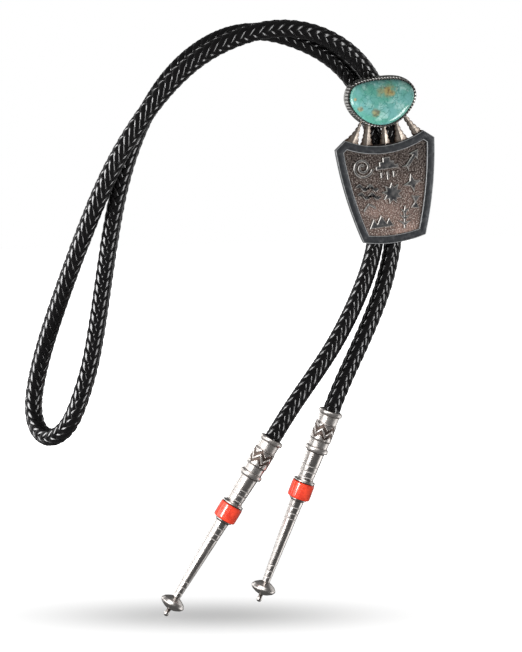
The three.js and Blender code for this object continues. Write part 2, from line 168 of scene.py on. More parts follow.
def centripetal_line(knots: Array, closed: bool, per_span: int = 24) -> Array:
    """Draws the centripetal Catmull-Rom line through knots.

    The knots' times grow with the square root of their spacing, and each span blends its four
    nearest knots along straight lines, three levels deep.

    Args:
        knots: The points that the line goes through.
        closed: Whether the last knot joins the first.
        per_span: Points for each span between knots.

    Returns:
        The line's points; an open line ends on its last knot.
    """
    if closed:
        padded = np.concatenate([knots[-1:], knots, knots[:2]])
    else:
        padded = np.concatenate([2 * knots[:1] - knots[1:2], knots, 2 * knots[-1:] - knots[-2:-1]])
    near = [padded[i:len(padded) - 3 + i, None, :] for i in range(4)]
    steps = [np.sqrt(np.linalg.norm(near[i + 1] - near[i], axis=-1, keepdims=True)) for i in range(3)]
    times = [np.zeros_like(steps[0])]
    for step in steps:
        times.append(times[-1] + step)
    share = np.linspace(0, 1, per_span, endpoint=False)[None, :, None]
    now = times[1] + (times[2] - times[1]) * share
    level = near
    for depth in (1, 2, 3):
        level = [
            ((times[i + depth] - now) * level[i] + (now - times[i]) * level[i + 1])
            / (times[i + depth] - times[i])
            for i in range(4 - depth)
        ]
    line = level[0].reshape(-1, knots.shape[1])
    return line if closed else np.concatenate([line, knots[-1:]])


def lengths_along(line: Array) -> Array:
    """Gives the length from the start of a line to each of its points."""
    return np.concatenate([[0], np.cumsum(np.linalg.norm(np.diff(line, axis=0), axis=1))])


def at_lengths(line: Array, known: Array, wanted: Array) -> Array:
    """Finds the values of a line, known at rising lengths, at the wanted lengths by straight blends."""
    return np.stack([np.interp(wanted, known, line[:, i]) for i in range(line.shape[1])], axis=-1)


def unit(vectors: Array) -> Array:
    """Scales vectors to length one along their last axis."""
    return vectors / np.linalg.norm(vectors, axis=-1, keepdims=True)


def inset(outline: Array, distance: float) -> Array:
    """Moves a closed clockwise outline inwards, each corner to where its two moved edges cross.

    Args:
        outline: Points in x and z, clockwise seen from the front.
        distance: How far inwards.

    Returns:
        The moved points.
    """
    along = unit(outline - np.roll(outline, 1, axis=0))
    onward = np.roll(along, -1, axis=0)
    inward = np.stack([along[:, 1], -along[:, 0]], axis=1)
    inward_next = np.stack([onward[:, 1], -onward[:, 0]], axis=1)
    middle = unit(inward + inward_next)
    reach = distance / np.sum(middle * inward, axis=1, keepdims=True)
    return outline + middle * reach


def softened(corners: Array, reach: float) -> Array:
    """Rounds each inner corner of an open line with three points on a small parabola.

    The parabola leaves one edge and meets the next at the reach, or at a third of a short edge.

    Args:
        corners: The line's corners, one row each, with any values carried along.
        reach: Distance from a corner to where its rounding starts.

    Returns:
        The rounded line, from the first corner to the last.
    """
    edges = np.diff(corners, axis=0)
    spans = np.maximum(np.linalg.norm(edges[:, :2], axis=1, keepdims=True), 1e-6)
    part = np.minimum(reach / spans, 1 / 3)
    middle = corners[1:-1]
    before = middle - edges[:-1] * part[:-1]
    after = middle + edges[1:] * part[1:]
    top = (before + 2 * middle + after) / 4
    rounded = np.stack([before, top, after], axis=1).reshape(-1, corners.shape[1])
    return np.concatenate([corners[:1], rounded, corners[-1:]])


def hashed(cells: Array, seed: int) -> Array:
    """Gives each whole-numbered cell a fixed value from 0 to 1, by scrambling its two numbers."""
    mixed = np.sin(cells[..., 0] * 127.1 + cells[..., 1] * 311.7 + seed * 74.7) * 43758.5453
    return mixed - np.floor(mixed)


def punch_marks(x: Array, z: Array, pitch: float) -> Array:
    """Covers a plane with round punch marks, one at a scattered place in each square cell.

    The height at a point is one minus the distance to the nearest mark, over the pitch.

    Args:
        x: Places across.
        z: Places upwards.
        pitch: Side of a cell.

    Returns:
        Heights from 0 to 1 at the places.
    """
    place = np.stack([x, z], axis=-1) / pitch
    cell = np.floor(place)
    nearest = np.full(x.shape, 2.0)
    for across in (-1, 0, 1):
        for up in (-1, 0, 1):
            other = cell + np.array([across, up])
            mark = other + np.stack([hashed(other, 1), hashed(other, 2)], axis=-1)
            nearest = np.minimum(nearest, np.linalg.norm(place - mark, axis=-1))
    return np.clip(1 - nearest, 0, 1)


# Shader nodes


class NodeSheet:
    """Adds nodes to one node tree and links them as they are added."""

    def __init__(self, tree: bpy.types.NodeTree) -> None:
        """Keeps the tree that nodes are added to."""
        self.tree = tree

    def connect(self, node: bpy.types.Node, inputs: dict[Any, Any]) -> None:
        """Sets or links a node's inputs.

        Args:
            node: The node.
            inputs: Values or other nodes' outputs, by the input's name or number.
        """
        for key, value in inputs.items():
            if isinstance(value, Socket):
                self.tree.links.new(value, node.inputs[key])
            else:
                node.inputs[key].default_value = value

    def add(self, kind: str, inputs: dict[Any, Any] | None = None, **settings: Any) -> bpy.types.Node:
        """Adds a shader node, sets its options, and sets or links its inputs.

        Args:
            kind: The node's type, without the words that all types start with.
            inputs: Values or other nodes' outputs, by the input's name or number.
            **settings: The node's own options.

        Returns:
            The new node.
        """
        node = self.tree.nodes.new(f"ShaderNode{kind}")
        for name, value in settings.items():
            setattr(node, name, value)
        self.connect(node, inputs or {})
        return node

    def math(self, operation: str, *values: Any) -> Socket:
        """Adds a sum, product or other operation on values."""
        return self.add("Math", dict(enumerate(values)), operation=operation).outputs[0]

    def vector(self, operation: str, inputs: dict[Any, Any], output: str = "Vector") -> Socket:
        """Adds an operation on vectors."""
        return self.add("VectorMath", inputs, operation=operation).outputs[output]

    def mix(self, share: Any, first: Any, second: Any) -> Socket:
        """Adds a blend from the first colour to the second, on the node's colour sockets."""
        return self.add("Mix", {0: share, 6: first, 7: second}, data_type="RGBA").outputs[2]

    def ramp(self, value: Any, low: float, high: float, start: float = 0.0, end: float = 1.0) -> Socket:
        """Adds a smooth step that goes from start to end while the value goes from low to high."""
        names = {"Value": value, "From Min": low, "From Max": high, "To Min": start, "To Max": end}
        return self.add("MapRange", names, interpolation_type="SMOOTHSTEP").outputs["Result"]

    def noise(self, where: Any, scale: Any, detail: float = 3.0, distortion: float = 0.0) -> Socket:
        """Adds a cloud of smooth noise from 0 to 1."""
        names = {"Vector": where, "Scale": scale, "Detail": detail, "Distortion": distortion}
        return self.add("TexNoise", names).outputs["Fac"]

    def grain(self, place: Socket, fine: float, broad: float) -> tuple[Socket, Socket]:
        """Adds the shared grain at two scales and gives its height and its cloud."""
        node = self.add("Group", {"Place": place, "Fine": fine, "Broad": broad}, node_tree=grain_group())
        return node.outputs["Height"], node.outputs["Cloud"]

    def carried(self, name: str) -> Socket:
        """Reads a value that the mesh carries at its points."""
        return self.add("Attribute", attribute_name=name).outputs["Fac"]

    def places(self) -> Socket:
        """Gives the point on the piece, in the row frame."""
        return self.add("TexCoord").outputs["Object"]

    def bump(self, height: Any, distance: float, strength: float = 1.0) -> Socket:
        """Turns a height into a normal."""
        names = {"Height": height, "Distance": distance, "Strength": strength}
        return self.add("Bump", names).outputs["Normal"]


def new_group(name: str, inputs: dict[str, float], outputs: list[str]) -> tuple[NodeSheet, Any, Any]:
    """Starts a shader node group with a place, further values and value outputs.

    Args:
        name: The group's name.
        inputs: Its value inputs and what they start at.
        outputs: Its value outputs.

    Returns:
        The group's sheet, its input node and its output node.
    """
    tree = bpy.data.node_groups.new(name, "ShaderNodeTree")
    tree.interface.new_socket("Place", in_out="INPUT", socket_type="NodeSocketVector")
    for key, value in inputs.items():
        tree.interface.new_socket(key, in_out="INPUT", socket_type="NodeSocketFloat").default_value = value
    for key in outputs:
        tree.interface.new_socket(key, in_out="OUTPUT", socket_type="NodeSocketFloat")
    return NodeSheet(tree), tree.nodes.new("NodeGroupInput"), tree.nodes.new("NodeGroupOutput")


@lru_cache(maxsize=None)
def grain_group() -> bpy.types.NodeTree:
    """Makes the shared grain: a fine height and a slow cloud, both from noise.

    Returns:
        A group with outputs Height and Cloud.
    """
    sheet, given, out = new_group("grain", {"Fine": 2000.0, "Broad": 120.0}, ["Height", "Cloud"])
    fine = sheet.noise(given.outputs["Place"], given.outputs["Fine"], 4.0)
    broad = sheet.noise(given.outputs["Place"], given.outputs["Broad"], 3.0)
    sheet.connect(out, {"Height": fine, "Cloud": broad})
    return sheet.tree


@lru_cache(maxsize=None)
def tarnish_group() -> bpy.types.NodeTree:
    """Makes the shared tarnish: a mask that gathers in recesses and breaks up with noise.

    Returns:
        A group with output Mask.
    """
    sheet, given, out = new_group("tarnish", {"Recess": 0.0, "Spread": 0.3, "Scale": 500.0}, ["Mask"])
    cloud = sheet.noise(given.outputs["Place"], given.outputs["Scale"], 5.0)
    uneven = sheet.math("SUBTRACT", cloud, 0.5)
    mask = sheet.math("MULTIPLY_ADD", uneven, given.outputs["Spread"], given.outputs["Recess"])
    sheet.connect(out, {"Mask": sheet.ramp(mask, 0.0, 1.0)})
    return sheet.tree


# Finishes


@dataclass(frozen=True)
class Finish:
    """A finish that fills in one Principled shader."""

    name: str

    def inputs(self, sheet: NodeSheet) -> dict[str, Any]:
        """Works out the shader's inputs; each finish has its own way.

        Args:
            sheet: The material's sheet.

        Returns:
            Values or outputs by input name.
        """
        raise NotImplementedError

    def material(self) -> bpy.types.Material:
        """Makes the material.

        Returns:
            The finished material.
        """
        material = bpy.data.materials.new(self.name)
        material.use_nodes = True
        sheet = NodeSheet(material.node_tree)
        sheet.connect(material.node_tree.nodes["Principled BSDF"], self.inputs(sheet))
        return material


@dataclass(frozen=True)
class LeatherFinish(Finish):
    """Black polished lace, a little greyer and rougher along its cut edges; the grey is wear and also a
    painted highlight where the edges catch light.
    """

    name: str = "black_leather"
    grain: tuple[float, float] = (2600.0, 260.0)
    black: Colour = tint(9, 8, 9)
    # Grey of the cut edges: wear, and partly a painted highlight
    edge: Colour = tint(34, 32, 33)
    edge_from: float = 0.72
    roughness: float = 0.18
    mottle: float = 0.2
    edge_roughness: float = 0.4
    shine: float = 0.6
    pores: float = 0.00006
    pore_strength: float = 0.5

    def inputs(self, sheet: NodeSheet) -> dict[str, Any]:
        """Greys the lace's outer width (wear and a painted edge highlight), roughens it and mottles its
        polish.

        Args:
            sheet: The material's sheet.

        Returns:
            Values or outputs by input name.
        """
        height, cloud = sheet.grain(sheet.places(), *self.grain)
        # Grey cut edges: wear, and a painted highlight where the edges catch light
        cut = sheet.ramp(sheet.carried("across"), self.edge_from, 1.0)
        worn = sheet.math("MULTIPLY", cut, sheet.ramp(cloud, *MIDDLE))
        polish = sheet.math("MULTIPLY_ADD", cloud, self.mottle, self.roughness - self.mottle / 2)
        return {
            "Base Color": sheet.mix(worn, self.black, self.edge),
            "Roughness": sheet.math("MULTIPLY_ADD", cut, self.edge_roughness - self.roughness, polish),
            "Normal": sheet.bump(height, self.pores, self.pore_strength),
            "Specular IOR Level": self.shine,
        }


@dataclass(frozen=True)
class SilverFinish(Finish):
    """Silver: bright where it is rubbed, dark where its mesh carries a recess (tarnish, and on the feathers
    painted shade at the foot), rougher where worn.
    """

    bright: Colour
    dark: Colour
    roughness: float
    dark_roughness: float = 0.5
    spread: float = 0.3
    scratch: float = 0.00001
    metal: float = 1.0
    wear: float = 0.0
    dull: float = 0.0
    grain: tuple[float, float] = (3200.0, 320.0)

    def inputs(self, sheet: NodeSheet) -> dict[str, Any]:
        """Blends bright and dark silver by the tarnish and roughens it there and where it is worn.

        Args:
            sheet: The material's sheet.

        Returns:
            Values or outputs by input name.
        """
        place, worn = sheet.places(), sheet.carried("worn")
        height, cloud = sheet.grain(place, *self.grain)
        given = {"Place": place, "Recess": sheet.carried("recess"), "Spread": self.spread}
        mask = sheet.add("Group", given, node_tree=tarnish_group()).outputs["Mask"]
        clean = sheet.ramp(cloud, 0.25, 0.75, self.roughness * 0.75, self.roughness * 1.25)
        rough = sheet.math("MULTIPLY_ADD", mask, self.dark_roughness - self.roughness, clean)
        return {
            "Base Color": sheet.mix(mask, self.bright, self.dark),
            "Metallic": sheet.math("MULTIPLY_ADD", worn, -self.dull, self.metal),
            "Roughness": sheet.math("MULTIPLY_ADD", worn, self.wear, rough),
            "Normal": sheet.bump(height, self.scratch),
        }


@dataclass(frozen=True)
class StippleFinish(Finish):
    """Oxidised ground between figures: brown in the punch marks, paler and pinker on their rims."""

    name: str = "stippled_ground"
    grain: tuple[float, float] = (2400.0, 90.0)
    deep: Colour = tint(28, 25, 24)
    middle: Colour = tint(72, 65, 61)
    pale: Colour = tint(232, 222, 214)
    flush: Colour = tint(180, 150, 138)
    flush_fade: Span = (-0.046, -0.084, 0.05, 0.75)
    fleck_fade: Span = (-0.042, -0.07, 0.35, 1.0)
    roughness: float = 0.48
    uneven: float = 0.1
    metal: float = 0.75
    pits: float = 0.00012

    def inputs(self, sheet: NodeSheet) -> dict[str, Any]:
        """Lightens the rims of the marks; the pink flush and the pale flecks grow towards the foot.

        Args:
            sheet: The material's sheet.

        Returns:
            Values or outputs by input name.
        """
        place, mark = sheet.places(), sheet.carried("mark")
        height, cloud = sheet.grain(place, *self.grain)
        level = sheet.add("SeparateXYZ", {"Vector": place}).outputs["Z"]
        body = sheet.mix(sheet.ramp(mark, *MIDDLE), self.deep, self.middle)
        low = sheet.ramp(level, *self.flush_fade)
        cloudy = sheet.math("MULTIPLY", low, sheet.ramp(cloud, 0.35, 0.65, 0.4, 1.0))
        fleck = sheet.math("MULTIPLY", sheet.ramp(mark, 0.55, 0.9), sheet.ramp(height, 0.45, 0.62))
        fleck = sheet.math("MULTIPLY", fleck, sheet.ramp(level, *self.fleck_fade))
        return {
            "Base Color": sheet.mix(fleck, sheet.mix(cloudy, body, self.flush), self.pale),
            "Metallic": self.metal,
            "Roughness": sheet.ramp(
                height, *MIDDLE, self.roughness - self.uneven, self.roughness + self.uneven,
            ),
            "Normal": sheet.bump(height, self.pits),
        }


@dataclass(frozen=True)
class Patch:
    """A patch of brown matrix in the stone: its middle across and up from the stone's, and its reach."""

    x: float
    z: float
    reach: float
    strength: float


@dataclass(frozen=True)
class TurquoiseFinish(Finish):
    """Polished green-blue stone with cloudy tones, fine darker veins and patches of brown matrix.

    The stone's middle and its directions to the right and upwards are in the row frame.
    """

    name: str = "turquoise"
    middle: Array = field(kw_only=True)
    across: Array = field(kw_only=True)
    upwards: Array = field(kw_only=True)
    grain: tuple[float, float] = (900.0, 170.0)
    green: Colour = tint(72, 131, 116)
    blue: Colour = tint(92, 142, 139)
    pale: Colour = tint(152, 183, 177)
    pale_scale: float = 260.0
    pale_fade: Span = (0.48, 0.74, 0.0, 0.65)
    vein: Colour = tint(40, 94, 88)
    vein_scale: float = 330.0
    vein_bend: float = 0.007
    vein_bend_scale: float = 220.0
    vein_half: float = 0.062
    vein_fade: Span = (0.3, 0.58, 0.1, 0.75)
    matrix: Colour = tint(138, 122, 76)
    matrix_dark: Colour = tint(94, 68, 38)
    matrix_roughness: float = 0.2
    matrix_scale: float = 420.0
    matrix_fade: tuple[float, float] = (0.2, 1.15)
    raggedness: float = 2.0
    roughness: float = 0.14
    pores: float = 0.00001
    coat: float = 0.25
    coat_roughness: float = 0.08
    patches: tuple[Patch, ...] = (
        Patch(2.4, 4.4, 3.4, 0.9), Patch(-1.0, 4.6, 2.0, 0.55), Patch(-3.6, -3.6, 1.9, 0.7),
        Patch(-9.8, -1.4, 1.3, 0.7), Patch(-11.6, 2.6, 0.8, 0.9),
    )

    def inputs(self, sheet: NodeSheet) -> dict[str, Any]:
        """Lays pale clouds, then veins along bent cell edges, then the patches over the stone's own colour.

        Args:
            sheet: The material's sheet.

        Returns:
            Values or outputs by input name.
        """
        place = sheet.places()
        height, broad = sheet.grain(place, *self.grain)
        cloud = sheet.noise(place, self.pale_scale, 4.0, 0.6)
        body = sheet.mix(sheet.ramp(broad, 0.36, 0.66), self.green, self.blue)
        body = sheet.mix(sheet.ramp(cloud, *self.pale_fade), body, self.pale)
        wander = {"Vector": place, "Scale": self.vein_bend_scale, "Detail": 4.0}
        shift = sheet.add("TexNoise", wander).outputs["Color"]
        bent = sheet.vector("ADD", {0: place, 1: sheet.vector("SCALE", {0: shift, 3: self.vein_bend})})
        pattern = {"Vector": bent, "Scale": self.vein_scale}
        cells = sheet.add("TexVoronoi", pattern, feature="DISTANCE_TO_EDGE")
        line = sheet.ramp(cells.outputs["Distance"], 0.0, self.vein_half, 1.0, 0.0)
        broken = sheet.math("MULTIPLY", line, sheet.ramp(cloud, *self.vein_fade))
        brown = self.patch_mask(sheet, place)
        earth = sheet.mix(sheet.ramp(height, 0.4, 0.62), self.matrix, self.matrix_dark)
        return {
            "Base Color": sheet.mix(brown, sheet.mix(broken, body, self.vein), earth),
            "Roughness": sheet.math("MULTIPLY_ADD", brown, self.matrix_roughness, self.roughness),
            "Normal": sheet.bump(height, self.pores),
            "Coat Weight": self.coat,
            "Coat Roughness": self.coat_roughness,
        }

    def patch_mask(self, sheet: NodeSheet, place: Socket) -> Socket:
        """Gathers the patches: each fades with the distance from its middle, broken up by noise.

        Args:
            sheet: The material's sheet.
            place: The point on the stone.

        Returns:
            The mask of all patches.
        """
        ragged = sheet.math("SUBTRACT", sheet.noise(place, self.matrix_scale, 5.0, 0.4), 0.5)
        plane = np.array([1.0, 0.0, 1.0])
        flat = sheet.vector("MULTIPLY", {0: place, 1: plane.tolist()})
        mask: Any = 0.0
        for patch in self.patches:
            spot = (self.middle + self.across * patch.x + self.upwards * patch.z) * plane * MM
            gap = sheet.vector("DISTANCE", {0: flat, 1: spot.tolist()}, "Value")
            share = sheet.math("DIVIDE", gap, patch.reach * MM)
            torn = sheet.math("MULTIPLY_ADD", ragged, self.raggedness, share)
            mask = sheet.math("MAXIMUM", mask, sheet.ramp(torn, *self.matrix_fade, patch.strength, 0.0))
        return mask


@dataclass(frozen=True)
class CoralFinish(Finish):
    """Polished orange-red coral with faint darker growth lines."""

    name: str = "coral"
    grain: tuple[float, float] = (1500.0, 420.0)
    red: Colour = tint(196, 58, 36)
    deep: Colour = tint(158, 38, 24)
    roughness: float = 0.14
    uneven: float = 0.08
    pores: float = 0.000015
    coat: float = 0.5
    coat_roughness: float = 0.06

    def inputs(self, sheet: NodeSheet) -> dict[str, Any]:
        """Darkens the coral in clouds and coats it.

        Args:
            sheet: The material's sheet.

        Returns:
            Values or outputs by input name.
        """
        height, cloud = sheet.grain(sheet.places(), *self.grain)
        return {
            "Base Color": sheet.mix(sheet.ramp(cloud, 0.35, 0.7, 0.0, 0.8), self.red, self.deep),
            "Roughness": sheet.ramp(height, *MIDDLE, self.roughness, self.roughness + self.uneven),
            "Normal": sheet.bump(height, self.pores),
            "Coat Weight": self.coat,
            "Coat Roughness": self.coat_roughness,
        }


FRAME_SILVER = SilverFinish(
    "frame_silver", tint(186, 187, 188), tint(50, 52, 55), 0.3, 0.42, 0.75, scratch=0.00003, metal=0.6,
)
FIGURE_SILVER = SilverFinish(
    "figure_silver", tint(216, 211, 206), tint(44, 46, 50), 0.26, 0.36, 0.7, scratch=0.00003, metal=0.8,
)
# Its dark brown is tarnish in the barbs and painted shade at the feathers' foot
FEATHER_SILVER = SilverFinish("feather_silver", tint(212, 200, 188), tint(104, 86, 74), 0.42, 0.6)
BEZEL_SILVER = SilverFinish("bezel_silver", tint(230, 228, 224), tint(46, 44, 44), 0.2)
TIP_SILVER = SilverFinish(
    "tip_silver", tint(198, 193, 189), tint(96, 84, 78), 0.3, 0.42, 0.22,
    scratch=0.000003, wear=0.08, dull=0.03,
)
CLIP_METAL = SilverFinish("clip_metal", tint(190, 188, 184), tint(96, 92, 88), 0.3)


def add_piece(
    name: str, surface: Surface, material: bpy.types.Material, stands_for: str,
    crease: float = 40.0,
) -> bpy.types.Object:
    """Writes a surface into a mesh in metres, dresses it and puts it on the body.

    Args:
        name: The piece's name.
        surface: Its surface in millimetres.
        material: Its material.
        stands_for: The CAD node that it replaces.
        crease: Edges that turn by more than these degrees stay sharp.

    Returns:
        The new object.
    """
    mesh = bpy.data.meshes.new(name)
    mesh.vertices.add(len(surface.points))
    mesh.vertices.foreach_set("co", (surface.points * MM).astype(np.float32).ravel())
    corners = np.concatenate([block.ravel() for block in surface.faces]).astype(np.int32)
    counts = np.concatenate([np.full(len(block), block.shape[1]) for block in surface.faces])
    starts = np.concatenate([[0], np.cumsum(counts)[:-1]]).astype(np.int32)
    mesh.loops.add(len(corners))
    mesh.loops.foreach_set("vertex_index", corners)
    mesh.polygons.add(len(starts))
    mesh.polygons.foreach_set("loop_start", starts)
    mesh.update(calc_edges=True)
    for key, value in surface.values.items():
        carried = mesh.attributes.new(key, "FLOAT", "POINT")
        carried.data.foreach_set("value", np.ascontiguousarray(value, dtype=np.float32))
    mesh.shade_smooth()
    mesh.set_sharp_from_angle(angle=math.radians(crease))
    mesh.materials.append(material)
    piece = bpy.data.objects.new(name, mesh)
    bpy.context.scene.collection.objects.link(piece)
    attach(piece, BODY)
    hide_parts(stands_for)
    LOG.info("%s: %d faces", name, len(starts))
    return piece


# Tips


class Side(Enum):
    """The two ends of the cord."""

    LEFT = "left"
    RIGHT = "right"


class Turn(Enum):
    """What a corner of the tip's profile is, with how dark it has become."""

    PLAIN = 0.0
    JOINT = 0.75
    GROOVE = 0.2


# Short names for the rows of the profile
P, J, G = Turn.PLAIN, Turn.JOINT, Turn.GROOVE


@dataclass
class Tip:
    """A long tapered tip turned about its axis, with a coral band, a saucer bead and a pin."""

    side: Side
    mouth: tuple[float, float, float]
    slant: float
    lean: float
    cord_inserted: float = 12.0
    cord_straight: float = 10.0
    bore_radius: float = 3.75
    bore_depth: float = 12.3
    around: int = 96
    groove_half: float = 0.22
    groove_depth: float = 0.12
    rounding: float = 0.16
    end: float = 85.7
    end_radius: float = 0.1
    profile: tuple[tuple[float, float, Turn], ...] = (
        (0, 4.35, P), (0.35, 4.9, P), (1, 5.1, P), (1.65, 4.9, P), (2, 4.25, J), (2.4, 4.25, P),
        (5.1, 4.2, P), (5.5, 4.2, J), (5.6, 4.5, P), (13, 4.5, P), (13.1, 4.2, J), (13.5, 4.2, P),
        (15.6, 4.15, P), (16, 4.15, J), (16.4, 4.75, P), (17.2, 4.95, P), (18, 4.75, P), (18.4, 3.85, J),
        (18.9, 3.83, P), (24.4, 3.65, G), (26.8, 3.52, G), (29.3, 3.4, G), (30.2, 3.35, J), (30.8, 3.75, P),
        (31.1, 4.6, P), (31.6, 4.6, P), (31.6, 2.6, J), (39, 2.6, J), (39, 3.8, P), (39.4, 3.7, P),
        (39.9, 2.9, J), (40.3, 2.88, P), (42.9, 2.76, G), (45.6, 2.66, G), (48, 2.57, G), (69, 1.85, G),
        (71.6, 1.76, G), (74.3, 1.66, G), (76.2, 1.61, P), (76.6, 1.6, J), (77.2, 2.9, P), (78.2, 4.45, P),
        (79.3, 5.25, P), (79.8, 5.25, P), (80.8, 4.5, P), (81.8, 2.75, P), (82.4, 0.9, J), (83.5, 0.75, J),
        (83.9, 1.05, P), (84.8, 1.15, P), (85.5, 0.75, P),
    )
    ferrule_end: float = 18.2
    bead_start: float = 77.0
    bead_wear: float = 0.3
    groove_wear: float = 5.0
    relief_from: float = 5.9
    relief_to: float = 12.7
    relief_radius: float = 4.5
    relief_rows: int = 46
    relief_depth: float = 0.26
    relief_repeats: int = 6
    zigzag_top: float = 0.3
    zigzag_depth: float = 0.4
    zigzag_half: float = 0.085
    peak_edge: float = 0.02
    peak_height: float = 0.3
    peak_steps: int = 4
    coral_from: float = 31.9
    coral_to: float = 38.7
    coral_inner: float = 2.9
    coral_radius: float = 4.8
    coral_rows: int = 17
    coral_bow: float = 0.04
    coral_round: float = 0.22
    coral_power: int = 17

    def axis(self) -> Array:
        """Gives the direction from the mouth to the end."""
        slant, lean = math.radians(self.slant), math.radians(self.lean)
        return np.array([
            -math.sin(slant) * math.cos(lean), math.sin(lean), -math.cos(slant) * math.cos(lean),
        ])

    def cord_end(self) -> Array:
        """Gives the cord's run at this tip, from inside it to the straight run above it."""
        depths = np.array([self.cord_inserted, 0.0, -self.cord_straight])
        return np.array(self.mouth) + depths[:, None] * self.axis()

    def turned(self, at: Array, radius: Array) -> Array:
        """Turns a profile about the tip's axis.

        A point is the mouth, plus its distance along the axis, plus its radius in a direction
        that goes once round with the columns.

        Args:
            at: Distances from the mouth, rows by columns or rows by one.
            radius: Radii, in a shape that fits.

        Returns:
            Rows by columns by three coordinates.
        """
        axis = self.axis()
        ahead = unit(np.cross(axis, [1.0, 0.0, 0.0]))
        aside = np.cross(axis, ahead)
        angle = np.linspace(0, 2 * math.pi, self.around, endpoint=False)[None, :, None]
        ring = np.cos(angle) * ahead + np.sin(angle) * aside
        return np.array(self.mouth) + at[..., None] * axis + radius[..., None] * ring

    def outside(self) -> Array:
        """Works out the profile: bore, mouth and outside with grooves cut and corners rounded.

        Returns:
            Rows of distance from the mouth, radius and recess.
        """
        corners = [(self.bore_depth, self.bore_radius, 1.0), (0.0, self.bore_radius, 1.0)]
        for at, radius, turn in self.profile:
            if turn is Turn.GROOVE:
                corners.append((at - self.groove_half, radius, 0.0))
                corners.append((at, radius - self.groove_depth, turn.value))
                corners.append((at + self.groove_half, radius, 0.0))
            else:
                corners.append((at, radius, turn.value))
        corners.append((self.end, self.end_radius, 0.0))
        return softened(np.array(corners), self.rounding)

    def relief(self, at: Array) -> Array:
        """Draws the raised band: a zigzag between two rows of stepped peaks.

        Args:
            at: Distances from the mouth, a column.

        Returns:
            Heights from 0, sunk, to 1, raised, rows by columns.
        """
        share = (at - self.relief_from) / (self.relief_to - self.relief_from)
        angle = np.linspace(0, self.relief_repeats, self.around, endpoint=False)[None, :]
        wave = 2 * np.abs(angle - np.floor(angle) - 0.5)
        zigzag = np.abs(share - (self.zigzag_top + self.zigzag_depth * wave)) < self.zigzag_half
        peak = self.peak_height * np.floor(wave * self.peak_steps) / self.peak_steps
        upper = (share > self.peak_edge) & (share < self.peak_edge + peak)
        foot = 1 - self.peak_edge
        lower = (share < foot) & (share > foot - self.peak_height + peak)
        return (zigzag | upper | lower).astype(float)

    def body(self) -> Surface:
        """Turns the profile and presses the relief into its raised band.

        Returns:
            The tip's surface, with its recess.
        """
        line = self.outside()
        above = (line[:, 0] < self.relief_from) & (line[:, 1] > self.relief_radius - 0.1)
        start = int(np.flatnonzero(above).max()) + 1
        rows = np.linspace(self.relief_from, self.relief_to, self.relief_rows)
        band = np.stack([rows, np.full_like(rows, self.relief_radius), np.zeros_like(rows)], axis=1)
        line = np.concatenate([line[:start], band, line[start:]])
        at, radius, recess = (line[:, i:i + 1] for i in range(3))
        sunk = np.zeros((len(line), self.around))
        sunk[start:start + self.relief_rows] = 1 - self.relief(rows[:, None])
        points = self.turned(at, radius - self.relief_depth * sunk)
        grooves = np.array([place for place, _, turn in self.profile if turn is Turn.GROOVE])
        cut = np.abs(at - grooves).min(axis=1, keepdims=True) < self.groove_half
        worn = (at < self.ferrule_end) + self.bead_wear * (at > self.bead_start) + self.groove_wear * cut
        return grid_surface(points, Ends.FAN, {"recess": np.maximum(recess, sunk), "worn": worn})

    def coral(self) -> Surface:
        """Turns the coral band: a ring whose face is bowed a little and whose edges are rounded.

        Returns:
            The band's surface.
        """
        face = np.sin(np.linspace(-1, 1, self.coral_rows) * math.pi / 2)
        edge = self.coral_round * np.abs(face) ** self.coral_power
        bow = self.coral_radius - self.coral_bow * face ** 2 - edge
        middle, half = (self.coral_from + self.coral_to) / 2, (self.coral_to - self.coral_from) / 2
        at = np.concatenate([[self.coral_from], middle + half * face, [self.coral_to]])
        radius = np.concatenate([[self.coral_inner], bow, [self.coral_inner]])
        return grid_surface(self.turned(at[:, None], radius[:, None]), Ends.JOINED)

    def build(self, silver: bpy.types.Material, coral: bpy.types.Material) -> list[bpy.types.Object]:
        """Makes the tip and its coral band.

        Args:
            silver: The tip's material.
            coral: The band's material.

        Returns:
            Both pieces.
        """
        side = self.side.value
        return [
            add_piece(f"{side}_tip_turned", self.body(), silver, f"{side}_tip"),
            add_piece(f"{side}_coral_ring", self.coral(), coral, f"{side}_coral_band"),
        ]


# Cord


class Lay(Enum):
    """The two ways that strands wind round the cord."""

    RIGHT = 1
    LEFT = -1


